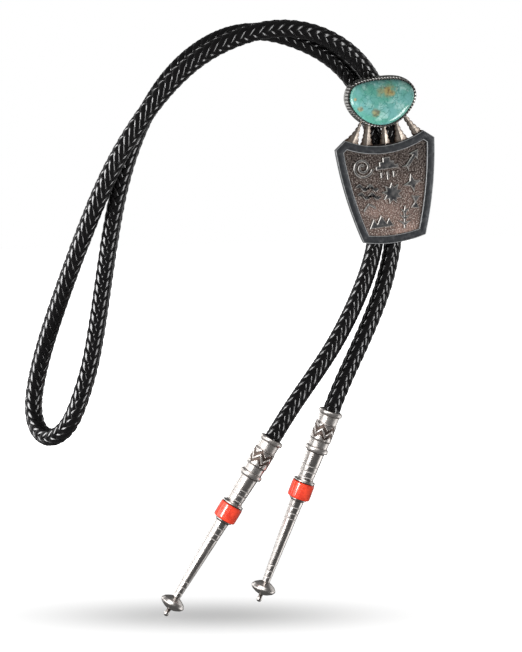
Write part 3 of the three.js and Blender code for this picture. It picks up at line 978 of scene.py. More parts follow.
@dataclass
class Cord:
    """A round plait of leather laces, doubled into the neck loop and hung as a bight at one side."""

    left: Tip
    right: Tip
    diameter: float = 7.0
    route: tuple[tuple[float, float, float], ...] = (
        (9, 0, -145), (22.9, 0, -125.5), (33.7, 0, -105), (40.9, 0, -84), (41.9, 0, -60),
        (40.5, 2.2, -37.8), (36, 5.8, -20.8), (24.2, 5, -7.8), (8.2, 4.1, 0.3), (-8.1, 4, 3.8),
        (-22.2, 4, 1.4), (-37.2, 3.9, -7.8), (-49, 3.8, -21.5), (-58.1, 3.6, -39.1), (-65.3, 1.8, -61),
        (-72.2, -4.4, -93), (-79.2, -11.4, -126), (-84.6, -14.2, -141.2), (-87.7, -12.1, -149.7),
        (-91.6, -6.7, -155.6), (-95.4, 0.5, -157.4), (-98, 7.7, -154.6), (-98.7, 12.8, -147.9),
        (-97.4, 14.6, -139.2), (-94.6, 11.8, -125), (-88.6, 7, -104), (-78.7, 1.2, -75), (-69.8, -2.2, -53),
        (-59.5, -3.7, -34.8), (-46.9, -3.9, -18.5), (-32.5, -4, -5.8), (-16.3, -4, 1.9), (0, -4, 5.1),
        (15.7, -3.7, 2.6), (30.5, -2, -5.6), (41.6, 0.9, -19.1), (47.8, 0, -37), (49.7, 0, -60),
        (49.1, 0, -80), (44.2, 0, -102), (35, 0, -124),
    )
    softness: float = 4.4
    spacing: float = 0.25
    row_step: float = 1.06
    lead: float = 23.4
    strands: int = 6
    crown: float = 0.18
    lace_half: float = 1.3
    lace_thick: float = 0.54
    lace_square: float = 0.85
    lace_corners: tuple[float, ...] = (0, 36, 72, 108, 144, 180, 225, 270, 315)
    swing: float = 0.44
    float_sharpness: float = 1.6
    phase: float = 45.0
    spins: tuple[tuple[float, float], ...] = (
        (0.0, -22.0), (0.12, -22.0), (0.2, 0.0), (0.3, 0.0), (0.36, 14.0), (0.46, 14.0), (0.52, 44.0),
        (0.62, 44.0), (0.68, 46.0), (0.82, 46.0), (0.88, 33.0), (1.0, 33.0),
    )
    facing: tuple[float, float, float] = (0.75, 0.65, 0.1)

    def line(self) -> Array:
        """Draws the cord's middle line through its route, evened out by a bell-shaped blur.

        Returns:
            Points at an even spacing, from inside the left tip to inside the right one.
        """
        ends = (self.left.cord_end(), self.right.cord_end()[::-1])
        raw = centripetal_line(np.concatenate([ends[0], np.array(self.route), ends[1]]), closed=False)
        known = lengths_along(raw)
        even = at_lengths(raw, known, np.arange(0, known[-1], self.spacing))
        reach = int(4 * self.softness / self.spacing)
        steps = np.arange(-reach, reach + 1) * self.spacing
        bell = np.exp(-0.5 * (steps / self.softness) ** 2)
        bell /= bell.sum()
        wide = np.pad(even, ((reach, reach), (0, 0)), mode="reflect", reflect_type="odd")
        return np.stack([np.convolve(wide[:, i], bell, mode="valid") for i in range(3)], axis=1)

    def rails(self, line: Array) -> tuple[Array, Array]:
        """Finds two directions across the line that don't spin about it.

        They start from the part of a fixed direction that is square to the line, and the spin that
        this shows from point to point is added up and taken back out.

        Args:
            line: The middle line.

        Returns:
            The two directions at each point of the line.
        """
        along = unit(np.gradient(line, axis=0))
        first = unit(np.cross(along, self.facing))
        second = np.cross(along, first)
        spin = np.arcsin(np.clip(np.sum(np.diff(first, axis=0) * second[:-1], axis=1), -1, 1))
        angle = -np.concatenate([[0], np.cumsum(spin)])
        shares, spins = np.array(self.spins).T
        angle += np.radians(self.phase + np.interp(np.linspace(0, 1, len(line)), shares, spins))
        cos, sin = np.cos(angle)[:, None], np.sin(angle)[:, None]
        return cos * first + sin * second, cos * second - sin * first

    def plait(self, line: Array) -> Surface:
        """Lays the strands: six wind to the right, six to the left, each over three and under three.

        A strand's angle grows evenly along the cord. Its radius swings with a flattened sine of
        twice that angle, outwards where its own way lies on top and inwards where the other does.
        Its section is a rounded lens across the strand, bent round the cord.

        Args:
            line: The cord's middle line.

        Returns:
            All strands as one surface, with the place across each strand.
        """
        known = lengths_along(line)
        first, second = self.rails(line)
        rows = np.linspace(0, known[-1], int(known[-1] / self.row_step))
        middle = self.diameter / 2 + self.crown - self.swing - self.lace_thick
        pitch = math.atan(2 * math.pi * middle / self.lead)
        angle = np.radians(self.lace_corners)
        across = np.sign(np.cos(angle)) * np.abs(np.cos(angle)) ** self.lace_square
        rise = np.sign(np.sin(angle)) * np.abs(np.sin(angle)) ** self.lace_square
        strands = []
        for lay in Lay:
            for number in range(self.strands):
                start = 2 * math.pi * (number + 0.25 * (1 - lay.value)) / self.strands
                turn = lay.value * 2 * math.pi * rows / self.lead + start
                over = lay.value * np.tanh(self.float_sharpness * np.sin(2 * turn))
                over /= math.tanh(self.float_sharpness)
                aside = self.lace_half * across[None, :]
                where = np.clip(rows[:, None] - lay.value * aside * math.sin(pitch), 0, known[-1])
                theta = (turn[:, None] + aside * math.cos(pitch) / middle)[..., None]
                radius = (middle + self.swing * over)[:, None] + self.lace_thick * rise[None, :]
                ring = np.cos(theta) * at_lengths(first, known, where)
                ring = ring + np.sin(theta) * at_lengths(second, known, where)
                points = at_lengths(line, known, where) + radius[..., None] * ring
                strands.append(grid_surface(points, Ends.FAN, {"across": np.abs(across)[None, :]}))
        return joined(strands)

    def build(self, leather: bpy.types.Material) -> bpy.types.Object:
        """Makes the plaited cord in a leather."""
        surface = self.plait(self.line())
        return add_piece("plaited_cord", surface, leather, "braided_cord", 80.0)

    def declare(self) -> None:
        """Works out the cord's length and where the left tip's mouth is, and keeps neither.
        """
        line = self.line() * MM
        tuple(np.array(self.left.mouth) * MM)
        float(lengths_along(line)[-1])


# Slide


@dataclass
class Slide:
    """Where the slide sits on the cords, and the levels of its layers in front of their middle plane."""

    at: tuple[float, float, float] = (45.6, 0.0, -61.0)
    roll: float = 6.5
    back: float = 3.8
    ground: float = 4.9
    figures: float = 5.7
    rim: float = 5.9
    feathers: float = 4.8

    def across(self) -> Array:
        """Gives the slide's direction to the right."""
        return np.array([math.cos(math.radians(self.roll)), 0.0, math.sin(math.radians(self.roll))])

    def upwards(self) -> Array:
        """Gives the slide's direction upwards."""
        return np.array([-math.sin(math.radians(self.roll)), 0.0, math.cos(math.radians(self.roll))])

    def placed(self, x: Array | float, level: Array | float, z: Array | float) -> Array:
        """Puts places on the slide into the row frame.

        Args:
            x: Places to the right of the slide's middle.
            level: Levels in front of the cords' middle plane.
            z: Places above the slide's middle.

        Returns:
            Points in the row frame.
        """
        x, level, z = np.broadcast_arrays(x, level, z)
        side, up = self.across(), self.upwards()
        front = np.array([0.0, -1.0, 0.0])
        return np.array(self.at) + x[..., None] * side + level[..., None] * front + z[..., None] * up

    def swept(self, ring: Callable[[float], Array], section: Section, ends: Ends) -> Surface:
        """Carries a section round an outline: each of its rows is the outline moved inwards, at one level.

        Args:
            ring: Gives the outline in x and z at a distance inwards.
            section: Rows of distance inwards, level and recess.
            ends: How the first and last rows are closed.

        Returns:
            The surface, with its recess.
        """
        rings = np.stack([ring(inwards) for inwards, _, _ in section])
        level, recess = np.array(section).T[1:, :, None]
        return grid_surface(self.placed(rings[..., 0], level, rings[..., 1]), ends, {"recess": recess})

    def backed(
        self, flat: Array, level: Array, name: str, value: Array, behind: float, lift: float = 0.0,
    ) -> Surface:
        """Closes a front grid with a flat back: two more columns, behind its last and its first one.

        Args:
            flat: The front's places in x and z, rows by columns by two.
            level: The front's levels.
            name: The name of a value that the surface carries.
            value: That value on the front.
            behind: That value on the back.
            lift: How far the back lies in front of the slide's back.

        Returns:
            The closed surface, with its value.
        """
        wide = np.concatenate([flat, flat[:, -1:], flat[:, :1]], axis=1)
        back = np.full((len(flat), 2), self.back + lift)
        points = self.placed(wide[..., 0], np.concatenate([level, back], axis=1), wide[..., 1])
        values = np.concatenate([value, np.full_like(back, behind)], axis=1)
        return grid_surface(points, Ends.FLAT, {name: values})

    def add(self, name: str, surface: Surface, finish: Finish, crease: float) -> None:
        """Adds a piece of the slide's own silver, with a finish and the turn at which edges are sharp."""
        add_piece(name, surface, finish.material(), "slide_body", crease)


def bowed_edge(start: Array, end: Array, bulge: Array, count: int) -> Array:
    """Draws a parabola from start to just before end, pushed out by a bulge at its middle."""
    share = np.linspace(0, 1, count, endpoint=False)[:, None]
    return start + (end - start) * share + bulge * 4 * share * (1 - share)


def ribbon_outline(line: Array, width: float) -> Array:
    """Gives the outline of a strip of even width along a line.

    Args:
        line: The strip's middle in x and z.
        width: Its width.

    Returns:
        The outline, along one side and back along the other.
    """
    along = unit(np.gradient(line, axis=0))
    aside = np.stack([-along[:, 1], along[:, 0]], axis=1) * width / 2
    return np.concatenate([line + aside, (line - aside)[::-1]])


class Figure(Enum):
    """The signs raised on the shield's ground."""

    SPIRAL = "spiral"
    CLOUD = "terraced cloud"
    SHORT_RAIN = "short bar of rain"
    LONG_RAIN = "long bar of rain"
    ARROW = "arrow"
    WAVE = "wave"
    SUN = "sun of nine rays"
    STAR = "star of four rays"
    PEAKS = "three peaks"
    STALK = "stalk with leaves"
    CHEVRON = "upright angle"
    HOURGLASS = "two triangles"

    def outline(self) -> Array:
        """Draws the sign about its own middle.

        Returns:
            Its outline in x and z.
        """
        share = np.linspace(0, 1, 70)
        if self is Figure.SPIRAL:
            angle, radius = 2 * math.pi * 1.9 * share, 0.6 + 3.6 * share
            return ribbon_outline(np.stack([radius * np.cos(angle), radius * np.sin(angle)], axis=1), 1.05)
        if self is Figure.WAVE:
            return ribbon_outline(np.stack([9 * share - 4.5, np.sin(4 * math.pi * share)], axis=1), 1.15)
        if self in (Figure.SUN, Figure.STAR):
            rays, long, short = (9, 4.5, 2.7) if self is Figure.SUN else (4, 4.0, 1.5)
            number = np.arange(2 * rays)
            angle = math.pi / 2 + number * math.pi / rays
            radius = np.where(number % 2, short, long)
            return np.stack([radius * np.cos(angle), radius * np.sin(angle)], axis=1)
        if self in (Figure.SHORT_RAIN, Figure.LONG_RAIN):
            half = 1.2 if self is Figure.SHORT_RAIN else 1.6
            return np.array([[-0.5, -half], [-0.5, half], [0.5, half], [0.5, -half]])
        if self is Figure.PEAKS:
            return np.array([
                [-5.2, -1.9], [-3.1, 1.9], [-1.8, -0.2], [0.2, 3.1], [2.2, -0.2], [3.4, 1.7], [5.2, -1.9],
            ])
        return self.mirrored_outline()

    def mirrored_outline(self) -> Array:
        """Draws a sign that is the same on both sides.

        Returns:
            Its outline in x and z.
        """
        if self is Figure.CLOUD:
            step = 1.6
            half = [(3 * step, 0.0), (3 * step, step), (2 * step, step)]
            half += [(2 * step, 2 * step), (step, 2 * step), (step, 3 * step)]
        elif self is Figure.ARROW:
            half = [(0.0, 5.2), (2.3, 1.5), (0.75, 1.9), (0.75, -2.8), (1.8, -4.6), (0.0, -3.4)]
        elif self is Figure.CHEVRON:
            half = [(0.0, 1.7), (2.6, -0.5), (2.6, -1.7), (0.0, 0.5)]
        elif self is Figure.HOURGLASS:
            half = [(1.8, 2.5), (0.35, 0.0), (1.8, -2.5)]
        else:
            half = [(0.5, -4.6)]
            for pair in range(3):
                root = 2.4 * pair - 3.2
                half += [(0.5, root), (2.9 - 0.5 * pair, root + 1.9), (0.5, root + 1.2)]
            half += [(0.0, 4.9)]
        right = np.array(half)
        left = right[::-1] * np.array([-1.0, 1.0])
        return np.concatenate([right, left[np.abs(left[:, 0]) > 0]])


@dataclass
class Shield:
    """The framed shield plate with a stippled ground and raised signs."""

    slide: Slide
    corner_half: float = 21.0
    corner_height: float = 19.5
    ear_half: float = 16.6
    ear_height: float = 22.9
    top_hollow: float = 4.1
    side_bulge: float = 1.3
    foot_half: float = 13.25
    foot_height: float = -19.4
    foot_bulge: float = 1.7
    frame_width: float = 3.2
    outer_bevel: float = 0.3
    inner_bevel: float = 0.2
    soft: float = 0.06
    edge_points: int = 26
    stipple_pitch: float = 0.66
    stipple_depth: float = 0.14
    stipple_middle: float = 0.6
    ground_lap: float = 0.6
    ground_lift: float = 0.02
    ground_columns: int = 190
    ground_rows: int = 180
    sunk: float = 0.4
    figure_bevel: float = 0.26
    figure_shoulder: float = 0.3
    figures: tuple[tuple[Figure, float, float, float], ...] = (
        (Figure.SPIRAL, -10.4, 11, 20), (Figure.CLOUD, -0.1, 9.2, 0), (Figure.SHORT_RAIN, -2.7, 6.9, 0),
        (Figure.LONG_RAIN, -0.1, 6.5, 0), (Figure.SHORT_RAIN, 2.5, 6.9, 0), (Figure.ARROW, 10.4, 11.6, -40),
        (Figure.WAVE, -9.2, 2.6, -8), (Figure.WAVE, -8.8, -0.8, -8), (Figure.SUN, 1, -0.9, 0),
        (Figure.STAR, 9.9, 2.2, 8), (Figure.CHEVRON, -9.1, -5.2, 6), (Figure.HOURGLASS, 10.4, -5.6, -10),
        (Figure.PEAKS, -4.9, -12.3, 0), (Figure.STALK, 5.3, -11.2, -6),
    )

    def edges(self, inwards: float = 0.0) -> list[Array]:
        """Draws the outline's six edges, clockwise from the left upper corner, or the same line further in.

        Further in, each corner goes to where its two moved edges cross, and each edge is the parabola
        through its moved corners and its moved middle.

        Args:
            inwards: How far in from the outline.

        Returns:
            Points along each edge, without its end.
        """
        corner, ear = (self.corner_half, self.corner_height), (self.ear_half, self.ear_height)
        foot = (self.foot_half, self.foot_height)
        right = np.array([ear, corner, foot])
        left = right * np.array([-1.0, 1.0])
        starts = np.stack([left[1], left[0], right[0], right[1], right[2], left[2]])
        bulges = np.array([
            (0, 0), (0, -self.top_hollow), (0, 0), (self.side_bulge, 0), (0, -self.foot_bulge),
            (-self.side_bulge, 0),
        ])
        chords = np.roll(starts, -1, axis=0) - starts
        middles = starts + chords / 2 + bulges
        leaving = unit(chords + 4 * bulges)
        arriving = np.roll(unit(chords - 4 * bulges), 1, axis=0)
        quarter = np.array([[0.0, -1.0], [1.0, 0.0]])
        bisector = unit(leaving @ quarter + arriving @ quarter)
        reach = inwards / np.sum(bisector * (leaving @ quarter), axis=1, keepdims=True)
        starts = starts + bisector * reach
        ends = np.roll(starts, -1, axis=0)
        bulges = middles + inwards * unit(chords) @ quarter - (starts + ends) / 2
        return [bowed_edge(a, b, bulge, self.edge_points) for a, b, bulge in zip(starts, ends, bulges)]

    def frame(self) -> Surface:
        """Carries the frame's section round the outline, mitred at its corners.

        The section is a flat band with an upright outside and a bevel along each edge.

        Returns:
            The frame's surface, with its recess.
        """
        back, rim, width = self.slide.back, self.slide.rim, self.frame_width
        outer, inner, soft = self.outer_bevel, self.inner_bevel, self.soft
        # Distance inwards, level and recess
        section = [
            (0.12, back, 0.9), (0, back + 0.2, 0.8), (0, rim - outer, 0.8), (soft, rim - outer + 0.08, 0.35),
            (outer - soft, rim - soft, 0.3), (outer + soft, rim, 0.95), (width / 2, rim, 0.95),
            (width - inner - soft, rim, 0.95), (width - inner + soft, rim - soft, 0.0),
            (width, rim - inner, 0.0), (width + 0.05, self.slide.ground - 0.2, 1.0),
            (width + 0.05, back, 1.0),
        ]
        return self.slide.swept(lambda inwards: np.concatenate(self.edges(inwards)), section, Ends.JOINED)

    def ground_plate(self) -> Surface:
        """Fills the frame with a plate whose front is covered with punch marks.

        Rows go from the foot edge to the top edge and columns from side to side, by straight
        blends between the four bowed edges.

        Returns:
            The plate's surface, with the height of its marks.
        """
        ear_left, top, _, right, foot, left = self.edges(self.frame_width - self.ground_lap)
        top = np.concatenate([ear_left[:1], top, right[:1]])
        foot = np.concatenate([foot, left[:1]])[::-1]
        side = np.linspace(0, 1, self.ground_columns)
        up = np.linspace(0, 1, self.ground_rows)[:, None, None]
        upper, lower = (
            at_lengths(edge, lengths_along(edge) / lengths_along(edge)[-1], side) for edge in (top, foot)
        )
        bow = self.side_bulge * 4 * up[..., 0] * (1 - up[..., 0]) * (2 * side[None] - 1)
        flat = lower + (upper - lower) * up + np.stack([bow, np.zeros_like(bow)], axis=-1)
        mark = punch_marks(flat[..., 0], flat[..., 1], self.stipple_pitch)
        level = self.slide.ground + self.stipple_depth * (mark - self.stipple_middle)
        return self.slide.backed(flat, level, "mark", mark, behind=0.0, lift=self.ground_lift)

    def raised(self, figure: Figure, x: float, z: float, turn: float) -> Surface:
        """Raises one sign with upright sides and a narrow bevel.

        Args:
            figure: The sign.
            x: Its middle to the right.
            z: Its middle upwards.
            turn: Its turn in degrees.

        Returns:
            The sign's surface, with its recess.
        """
        angle = math.radians(turn)
        spun = np.array([[math.cos(angle), math.sin(angle)], [-math.sin(angle), math.cos(angle)]])
        outline = figure.outline() @ spun + np.array([x, z])
        ahead = np.roll(outline, -1, axis=0)
        if np.sum(outline[:, 0] * ahead[:, 1] - ahead[:, 0] * outline[:, 1]) > 0:
            outline = outline[::-1]
        ground, top, bevel = self.slide.ground, self.slide.figures, self.figure_bevel
        # Distance inwards, level and recess
        section = [
            (0, ground - self.sunk, 1.0), (0, ground, 1.0), (0, top - self.figure_shoulder, 0.2),
            (bevel, top, 0.1), (bevel + self.soft, top, 0.8),
        ]
        return self.slide.swept(lambda inwards: inset(outline, inwards), section, Ends.FLAT)

    def build(self) -> None:
        """Makes the frame, the ground and the signs."""
        self.slide.add("shield_frame", self.frame(), FRAME_SILVER, 30.0)
        self.slide.add("shield_ground", self.ground_plate(), StippleFinish(), 60.0)
        signs = joined([self.raised(*row) for row in self.figures])
        self.slide.add("shield_signs", signs, FIGURE_SILVER, 30.0)


@dataclass
class Feathers:
    """Five flat feathers that carry the stone's setting above the shield."""

    slide: Slide
    teeth: int = 5
    notch: float = 0.35
    notch_from: float = 0.45
    notch_over: float = 0.45
    flare: float = 2.0
    rows: int = 81
    columns: int = 17
    barbs: int = 17
    barb_slant: float = 0.1
    barb_depth: float = 0.07
    rib_height: float = 0.12
    rib_width: float = 0.16
    droop: float = 0.3
    # Share of the length, from the foot, that carries painted shade
    shade_foot: float = 0.3
    feathers: tuple[tuple[float, float, float, float, float, float], ...] = (
        (-13.6, 21.2, 6.6, -8.7, 29.4, 1.1), (-7.6, 19.6, 5.2, -5.9, 28.6, 2.6),
        (0.4, 18.3, 5.4, 0.5, 27.6, 2.0), (7.5, 18.8, 7.2, 5.5, 28.4, 1.7),
        (15.0, 20.8, 5.4, 9.8, 29.2, 2.0),
    )

    def feather(
        self, base_x: float, base_z: float, base_width: float, top_x: float, top_z: float, top_width: float,
    ) -> Surface:
        """Shapes one feather from its foot to its top.

        It spreads with a power of the way down, less a saw of teeth. Its front is a low ridge with a
        round rib along the middle and slanting barbs, and its back is flat.

        Args:
            base_x: Middle of the foot to the right.
            base_z: Middle of the foot upwards.
            base_width: Width at the foot.
            top_x: Middle of the top to the right.
            top_z: Middle of the top upwards.
            top_width: Width at the top.

        Returns:
            The feather's surface, with its recess: darker in the barbs and towards the side edges, and
            painted shade at the foot.
        """
        up = np.linspace(0, 1, self.rows)[:, None]
        side = np.linspace(-1, 1, self.columns)[None, :]
        base, along = np.array([base_x, base_z]), np.array([top_x - base_x, top_z - base_z])
        aside = unit(np.array([along[1], -along[0]]))
        tooth = up * self.teeth - np.floor(up * self.teeth)
        cut = self.notch * np.clip((tooth - self.notch_from) / self.notch_over, 0, 1)
        half = (top_width + (base_width - top_width) * (1 - up) ** self.flare) / 2 - cut
        barb = (up + self.barb_slant * np.abs(side)) * self.barbs
        ridge = np.abs(barb - np.floor(barb) - 0.5) * 2
        rib = np.exp(-((side / self.rib_width) ** 2))
        level = self.slide.feathers - self.droop * side ** 2 + self.rib_height * rib
        level = level - self.barb_depth * ridge * (1 - rib)
        # Painted shade at the feather's foot; the barbs and the side edges are darker too
        foot = np.clip(1 - up / self.shade_foot, 0, 1)
        recess = np.clip(0.5 * ridge * (1 - rib) + np.abs(side) ** 5 * 0.9 + 0.5 * foot, 0, 1)
        flat = base + along * up[..., None] + aside * (side * half)[..., None]
        return self.slide.backed(flat, level, "recess", recess, behind=1.0)

    def build(self) -> None:
        """Makes the feathers as one piece."""
        surface = joined([self.feather(*row) for row in self.feathers])
        self.slide.add("feather_row", surface, FEATHER_SILVER, 50.0)


@dataclass
class Setting:
    """The turquoise and the sawtooth bezel that holds it."""

    slide: Slide
    height: float = 36.5
    outline: tuple[tuple[float, float], ...] = (
        (-13.4, 2.6), (-11.3, 7.3), (-4.8, 8.9), (1.5, 8.9), (8.4, 8), (12.7, 5),
        (13.6, 1), (11, -3.7), (5.5, -7.9), (-0.5, -9.1), (-6.3, -7.5), (-11.2, -3.1),
    )
    seat: float = 5.1
    edge: float = 2.4
    dome: float = 3.2
    squareness: float = 0.62
    gap: float = 0.3
    thickness: float = 0.5
    flare: float = 0.7
    floor: float = 1.0
    teeth: int = 60
    tooth_height: float = 0.7
    per_tooth: int = 8
    flute: float = 0.16
    floor_shade: float = 0.35
    stone_around: int = 160
    dome_rows: int = 40
    dome_end: float = 0.995
    under_scale: float = 0.97
    under_rise: float = 0.15

    def ring(self, count: int) -> tuple[Array, Array]:
        """Spaces points evenly round the stone's outline.

        Args:
            count: How many points.

        Returns:
            The points about the stone's middle, and the outward direction at each.
        """
        loop = centripetal_line(np.array(self.outline), closed=True)
        loop = np.concatenate([loop, loop[:1]])
        known = lengths_along(loop)
        points = at_lengths(loop, known, np.linspace(0, known[-1], count, endpoint=False))
        along = unit(np.roll(points, -1, axis=0) - np.roll(points, 1, axis=0))
        return points, np.stack([-along[:, 1], along[:, 0]], axis=1)

    def stone(self) -> Surface:
        """Domes the stone.

        Its outline shrinks with a power of the cosine while the level rises with the sine.

        Returns:
            The stone's surface.
        """
        points, _ = self.ring(self.stone_around)
        angle = np.linspace(0, self.dome_end * math.pi / 2, self.dome_rows)
        scale = np.concatenate([[self.under_scale, 1.0], np.cos(angle) ** self.squareness])
        rise = self.edge + self.dome * np.sin(angle)
        level = self.seat + np.concatenate([[0.0, self.under_rise], rise])
        x = scale[:, None] * points[None, :, 0]
        z = self.height + scale[:, None] * points[None, :, 1]
        return grid_surface(self.slide.placed(x, level[:, None], z), Ends.FAN)

    def bezel(self) -> Surface:
        """Carries the wall's section round the stone, fluted below and cut to teeth above.

        The teeth are a triangle wave in the height of the upper edge, and the flutes a cosine of
        the same pitch in the wall's outer side.

        Returns:
            The wall's surface, with its recess.
        """
        count = self.teeth * self.per_tooth
        points, outwards = self.ring(count)
        phase = np.arange(count) / self.per_tooth
        tooth = 2 * np.abs(phase - np.floor(phase) - 0.5)
        flute = 0.5 + 0.5 * np.cos(2 * math.pi * phase)
        top = self.seat + self.edge + self.tooth_height * tooth
        wall = self.gap + self.thickness
        low = self.slide.back
        # Reach outwards, level and recess
        rows = [
            (wall + self.flare, low, 0.3),
            (wall + self.flare, low + 0.5, 0.1),
            (wall + 0.55 * self.flare - self.flute * flute, low + 1.2, 0.9 * flute ** 2),
            (wall + 0.3 * self.flare - self.flute * flute, low + 0.75 * (top - low), flute ** 2),
            (wall + 0.1 - 0.5 * self.flute * flute, top - 0.1, flute),
            (wall - 0.12, top + 0.02, 0.6 * flute),
            (self.gap - 0.15, top - 0.05, 0.3 + 0.6 * flute),
            (self.gap - 0.05, top - 0.5, 1.0),
            (self.gap, low + self.floor, 1.0),
            (self.gap, low + 0.02, 1.0),
        ]
        reach, level, recess = (
            np.stack([np.broadcast_to(value, count) for value in column], axis=1) for column in zip(*rows)
        )
        x = points[:, None, 0] + outwards[:, None, 0] * reach
        z = self.height + points[:, None, 1] + outwards[:, None, 1] * reach
        return grid_surface(self.slide.placed(x, level, z), Ends.JOINED, {"recess": recess})

    def cup_floor(self) -> Surface:
        """Closes the setting's back with a plate inside the wall.

        Returns:
            The plate's surface, with its recess.
        """
        points, outwards = self.ring(self.stone_around)
        edge = points + outwards * (self.gap + self.thickness / 2)
        levels = self.slide.back + np.array([0.0, self.floor])
        flat = self.slide.placed(edge[None, :, 0], levels[:, None], self.height + edge[None, :, 1])
        return grid_surface(flat, Ends.FAN, {"recess": np.array(self.floor_shade)})

    def build(self) -> None:
        """Makes the setting and the stone."""
        self.slide.add("stone_setting", joined([self.bezel(), self.cup_floor()]), BEZEL_SILVER, 35.0)
        turquoise = TurquoiseFinish(
            middle=self.slide.placed(0.0, self.seat + self.edge, self.height),
            across=self.slide.across(), upwards=self.slide.upwards(),
        )
        add_piece("turquoise_dome", self.stone(), turquoise.material(), "turquoise_stone", 60.0)


@dataclass
class Clip:
    """A strip bent round both cords behind the shield, with a foot on each side."""

    slide: Slide
    middle: float = -3.0
    height: float = 14.0
    sheet: float = 1.0
    half: float = 8.7
    foot: float = 3.5
    corner: float = 2.4
    inside: float = 4.1
    gap: float = 0.3
    bevel: float = 0.18
    shade: float = 0.2
    bend_steps: int = 10

    def bend(self, x: float, y: float, radius: float, start: float, end: float) -> Array:
        """Draws a round bend about a middle, from one angle in degrees to another."""
        angle = np.radians(np.linspace(start, end, self.bend_steps))
        return np.stack([x + radius * np.cos(angle), y + radius * np.sin(angle)], axis=1)

    def section(self) -> Array:
        """Draws the strip's edge: along the inside from the left foot to the right, and back outside.

        Returns:
            Its closed outline in x and depth.
        """
        front = self.gap - self.slide.back
        tight = self.corner - self.sheet
        outer, outside = self.half + self.sheet, self.inside + self.sheet
        left = -outer - self.foot
        right = outer + self.foot
        return np.concatenate([
            [(left, front), (-self.half, front)],
            self.bend(-self.half + tight, self.inside - tight, tight, 180, 90),
            self.bend(self.half - tight, self.inside - tight, tight, 90, 0),
            [(self.half, front), (right, front), (right, front + self.sheet), (outer, front + self.sheet)],
            self.bend(outer - self.corner, outside - self.corner, self.corner, 0, 90),
            self.bend(-outer + self.corner, outside - self.corner, self.corner, 90, 180),
            [(-outer, front + self.sheet), (left, front + self.sheet)],
        ])

    def strip(self) -> Surface:
        """Carries the strip's edge upwards and draws it in a little at both ends.

        Returns:
            The clip's surface, with its recess.
        """
        outline = self.section()
        half = self.height / 2
        ends = [(-half, self.bevel), (-half + self.bevel, 0.0), (half - self.bevel, 0.0), (half, self.bevel)]
        rings = np.stack([inset(outline, distance) for _, distance in ends])
        z = self.middle + np.array([level for level, _ in ends])[:, None]
        points = self.slide.placed(rings[..., 0], -rings[..., 1], z)
        return grid_surface(points, Ends.FLAT, {"recess": np.array(self.shade)})

    def build(self) -> None:
        """Makes the clip."""
        add_piece("bent_clip", self.strip(), CLIP_METAL.material(), "cord_clip", 35.0)


# Studio


class Group(Enum):
    """The pieces that a light can be set on."""

    CORD = ("plaited_cord",)
    TIPS = ("left_tip_turned", "right_tip_turned")
    CORAL = ("left_coral_ring", "right_coral_ring")
    PLATE = ("shield_frame", "shield_ground", "shield_signs", "feather_row", "stone_setting", "bent_clip")
    STONE = ("turquoise_dome",)
    FLOOR = ("floor",)


JEWELLERY = (Group.TIPS, Group.CORAL, Group.PLATE, Group.STONE)


@dataclass(frozen=True)
class SoftBox:
    """A soft light: what it lights, where it stands round the tie, its size and its power.

    Angles are degrees and lengths are metres. A light that isn't mirrored gives light without
    showing in polished surfaces.
    """

    name: str
    on: tuple[Group, ...]
    azimuth: float
    elevation: float
    distance: float
    width: float
    height: float
    power: float
    mirrored: bool = True


@dataclass(frozen=True)
class FloorFinish(Finish):
    """Matt pale floor with a painted soft shadow, a darker oval below the tips; far from the tie it glows.
    """

    name: str = "pale_floor"
    level: float = -235.9
    # Tones of the painted shadow's middle and of the pale floor around it
    shadow_tones: tuple[float, float] = (0.32, 0.63)
    middle: tuple[float, float] = (-26.0, 6.0)
    reach: tuple[float, float] = (100.0, 38.0)
    turn: float = -14.0
    glow: tuple[float, float] = (0.25, 0.42)
    roughness: float = 0.9
    shine: float = 0.1

    def inputs(self, sheet: NodeSheet) -> dict[str, Any]:
        """Paints a soft shadow: darkens the oval by the distance from its middle, over its reach, and adds
        the glow.

        Args:
            sheet: The material's sheet.

        Returns:
            Values or outputs by input name.
        """
        place = sheet.places()
        # Place in the painted shadow's oval below the tips
        shadow_oval = sheet.add("Mapping", {
            "Vector": place,
            "Location": (*(value * MM for value in self.middle), self.level * MM),
            "Rotation": (0.0, 0.0, math.radians(self.turn)),
            "Scale": (*(value * MM for value in self.reach), 1.0),
        }, vector_type="TEXTURE").outputs[0]
        away, far = (sheet.vector("LENGTH", {0: where}, "Value") for where in (shadow_oval, place))
        dark, pale = (grey(tone) for tone in self.shadow_tones)
        return {
            # Painted shadow: dark at the oval's middle, the pale floor beyond its reach
            "Base Color": sheet.mix(sheet.ramp(away, 0.0, 1.0), dark, pale),
            "Roughness": self.roughness,
            "Specular IOR Level": self.shine,
            "Emission Color": sheet.mix(sheet.ramp(far, *self.glow), grey(0.0), grey(1.0)),
            "Emission Strength": 1.0,
        }


def aimed(name: str, data: bpy.types.ID, at: Vector, target: Vector) -> bpy.types.Object:
    """Stands a camera or a light at a point and turns it to its target.

    Args:
        name: The object's name.
        data: The camera or the light.
        at: Where it stands.
        target: What it looks at.

    Returns:
        The new object.
    """
    thing = bpy.data.objects.new(name, data)
    thing.location = at
    thing.rotation_mode = "QUATERNION"
    thing.rotation_quaternion = (target - at).to_track_quat("-Z", "Y")
    bpy.context.scene.collection.objects.link(thing)
    return thing


def gathered(name: str, groups: tuple[Group, ...]) -> bpy.types.Collection:
    """Gathers the pieces of some groups in a collection of their own.

    Args:
        name: The collection's name.
        groups: The groups.

    Returns:
        The new collection.
    """
    collection = bpy.data.collections.new(name)
    for group in groups:
        for piece in group.value:
            collection.objects.link(bpy.data.objects[piece])
    return collection


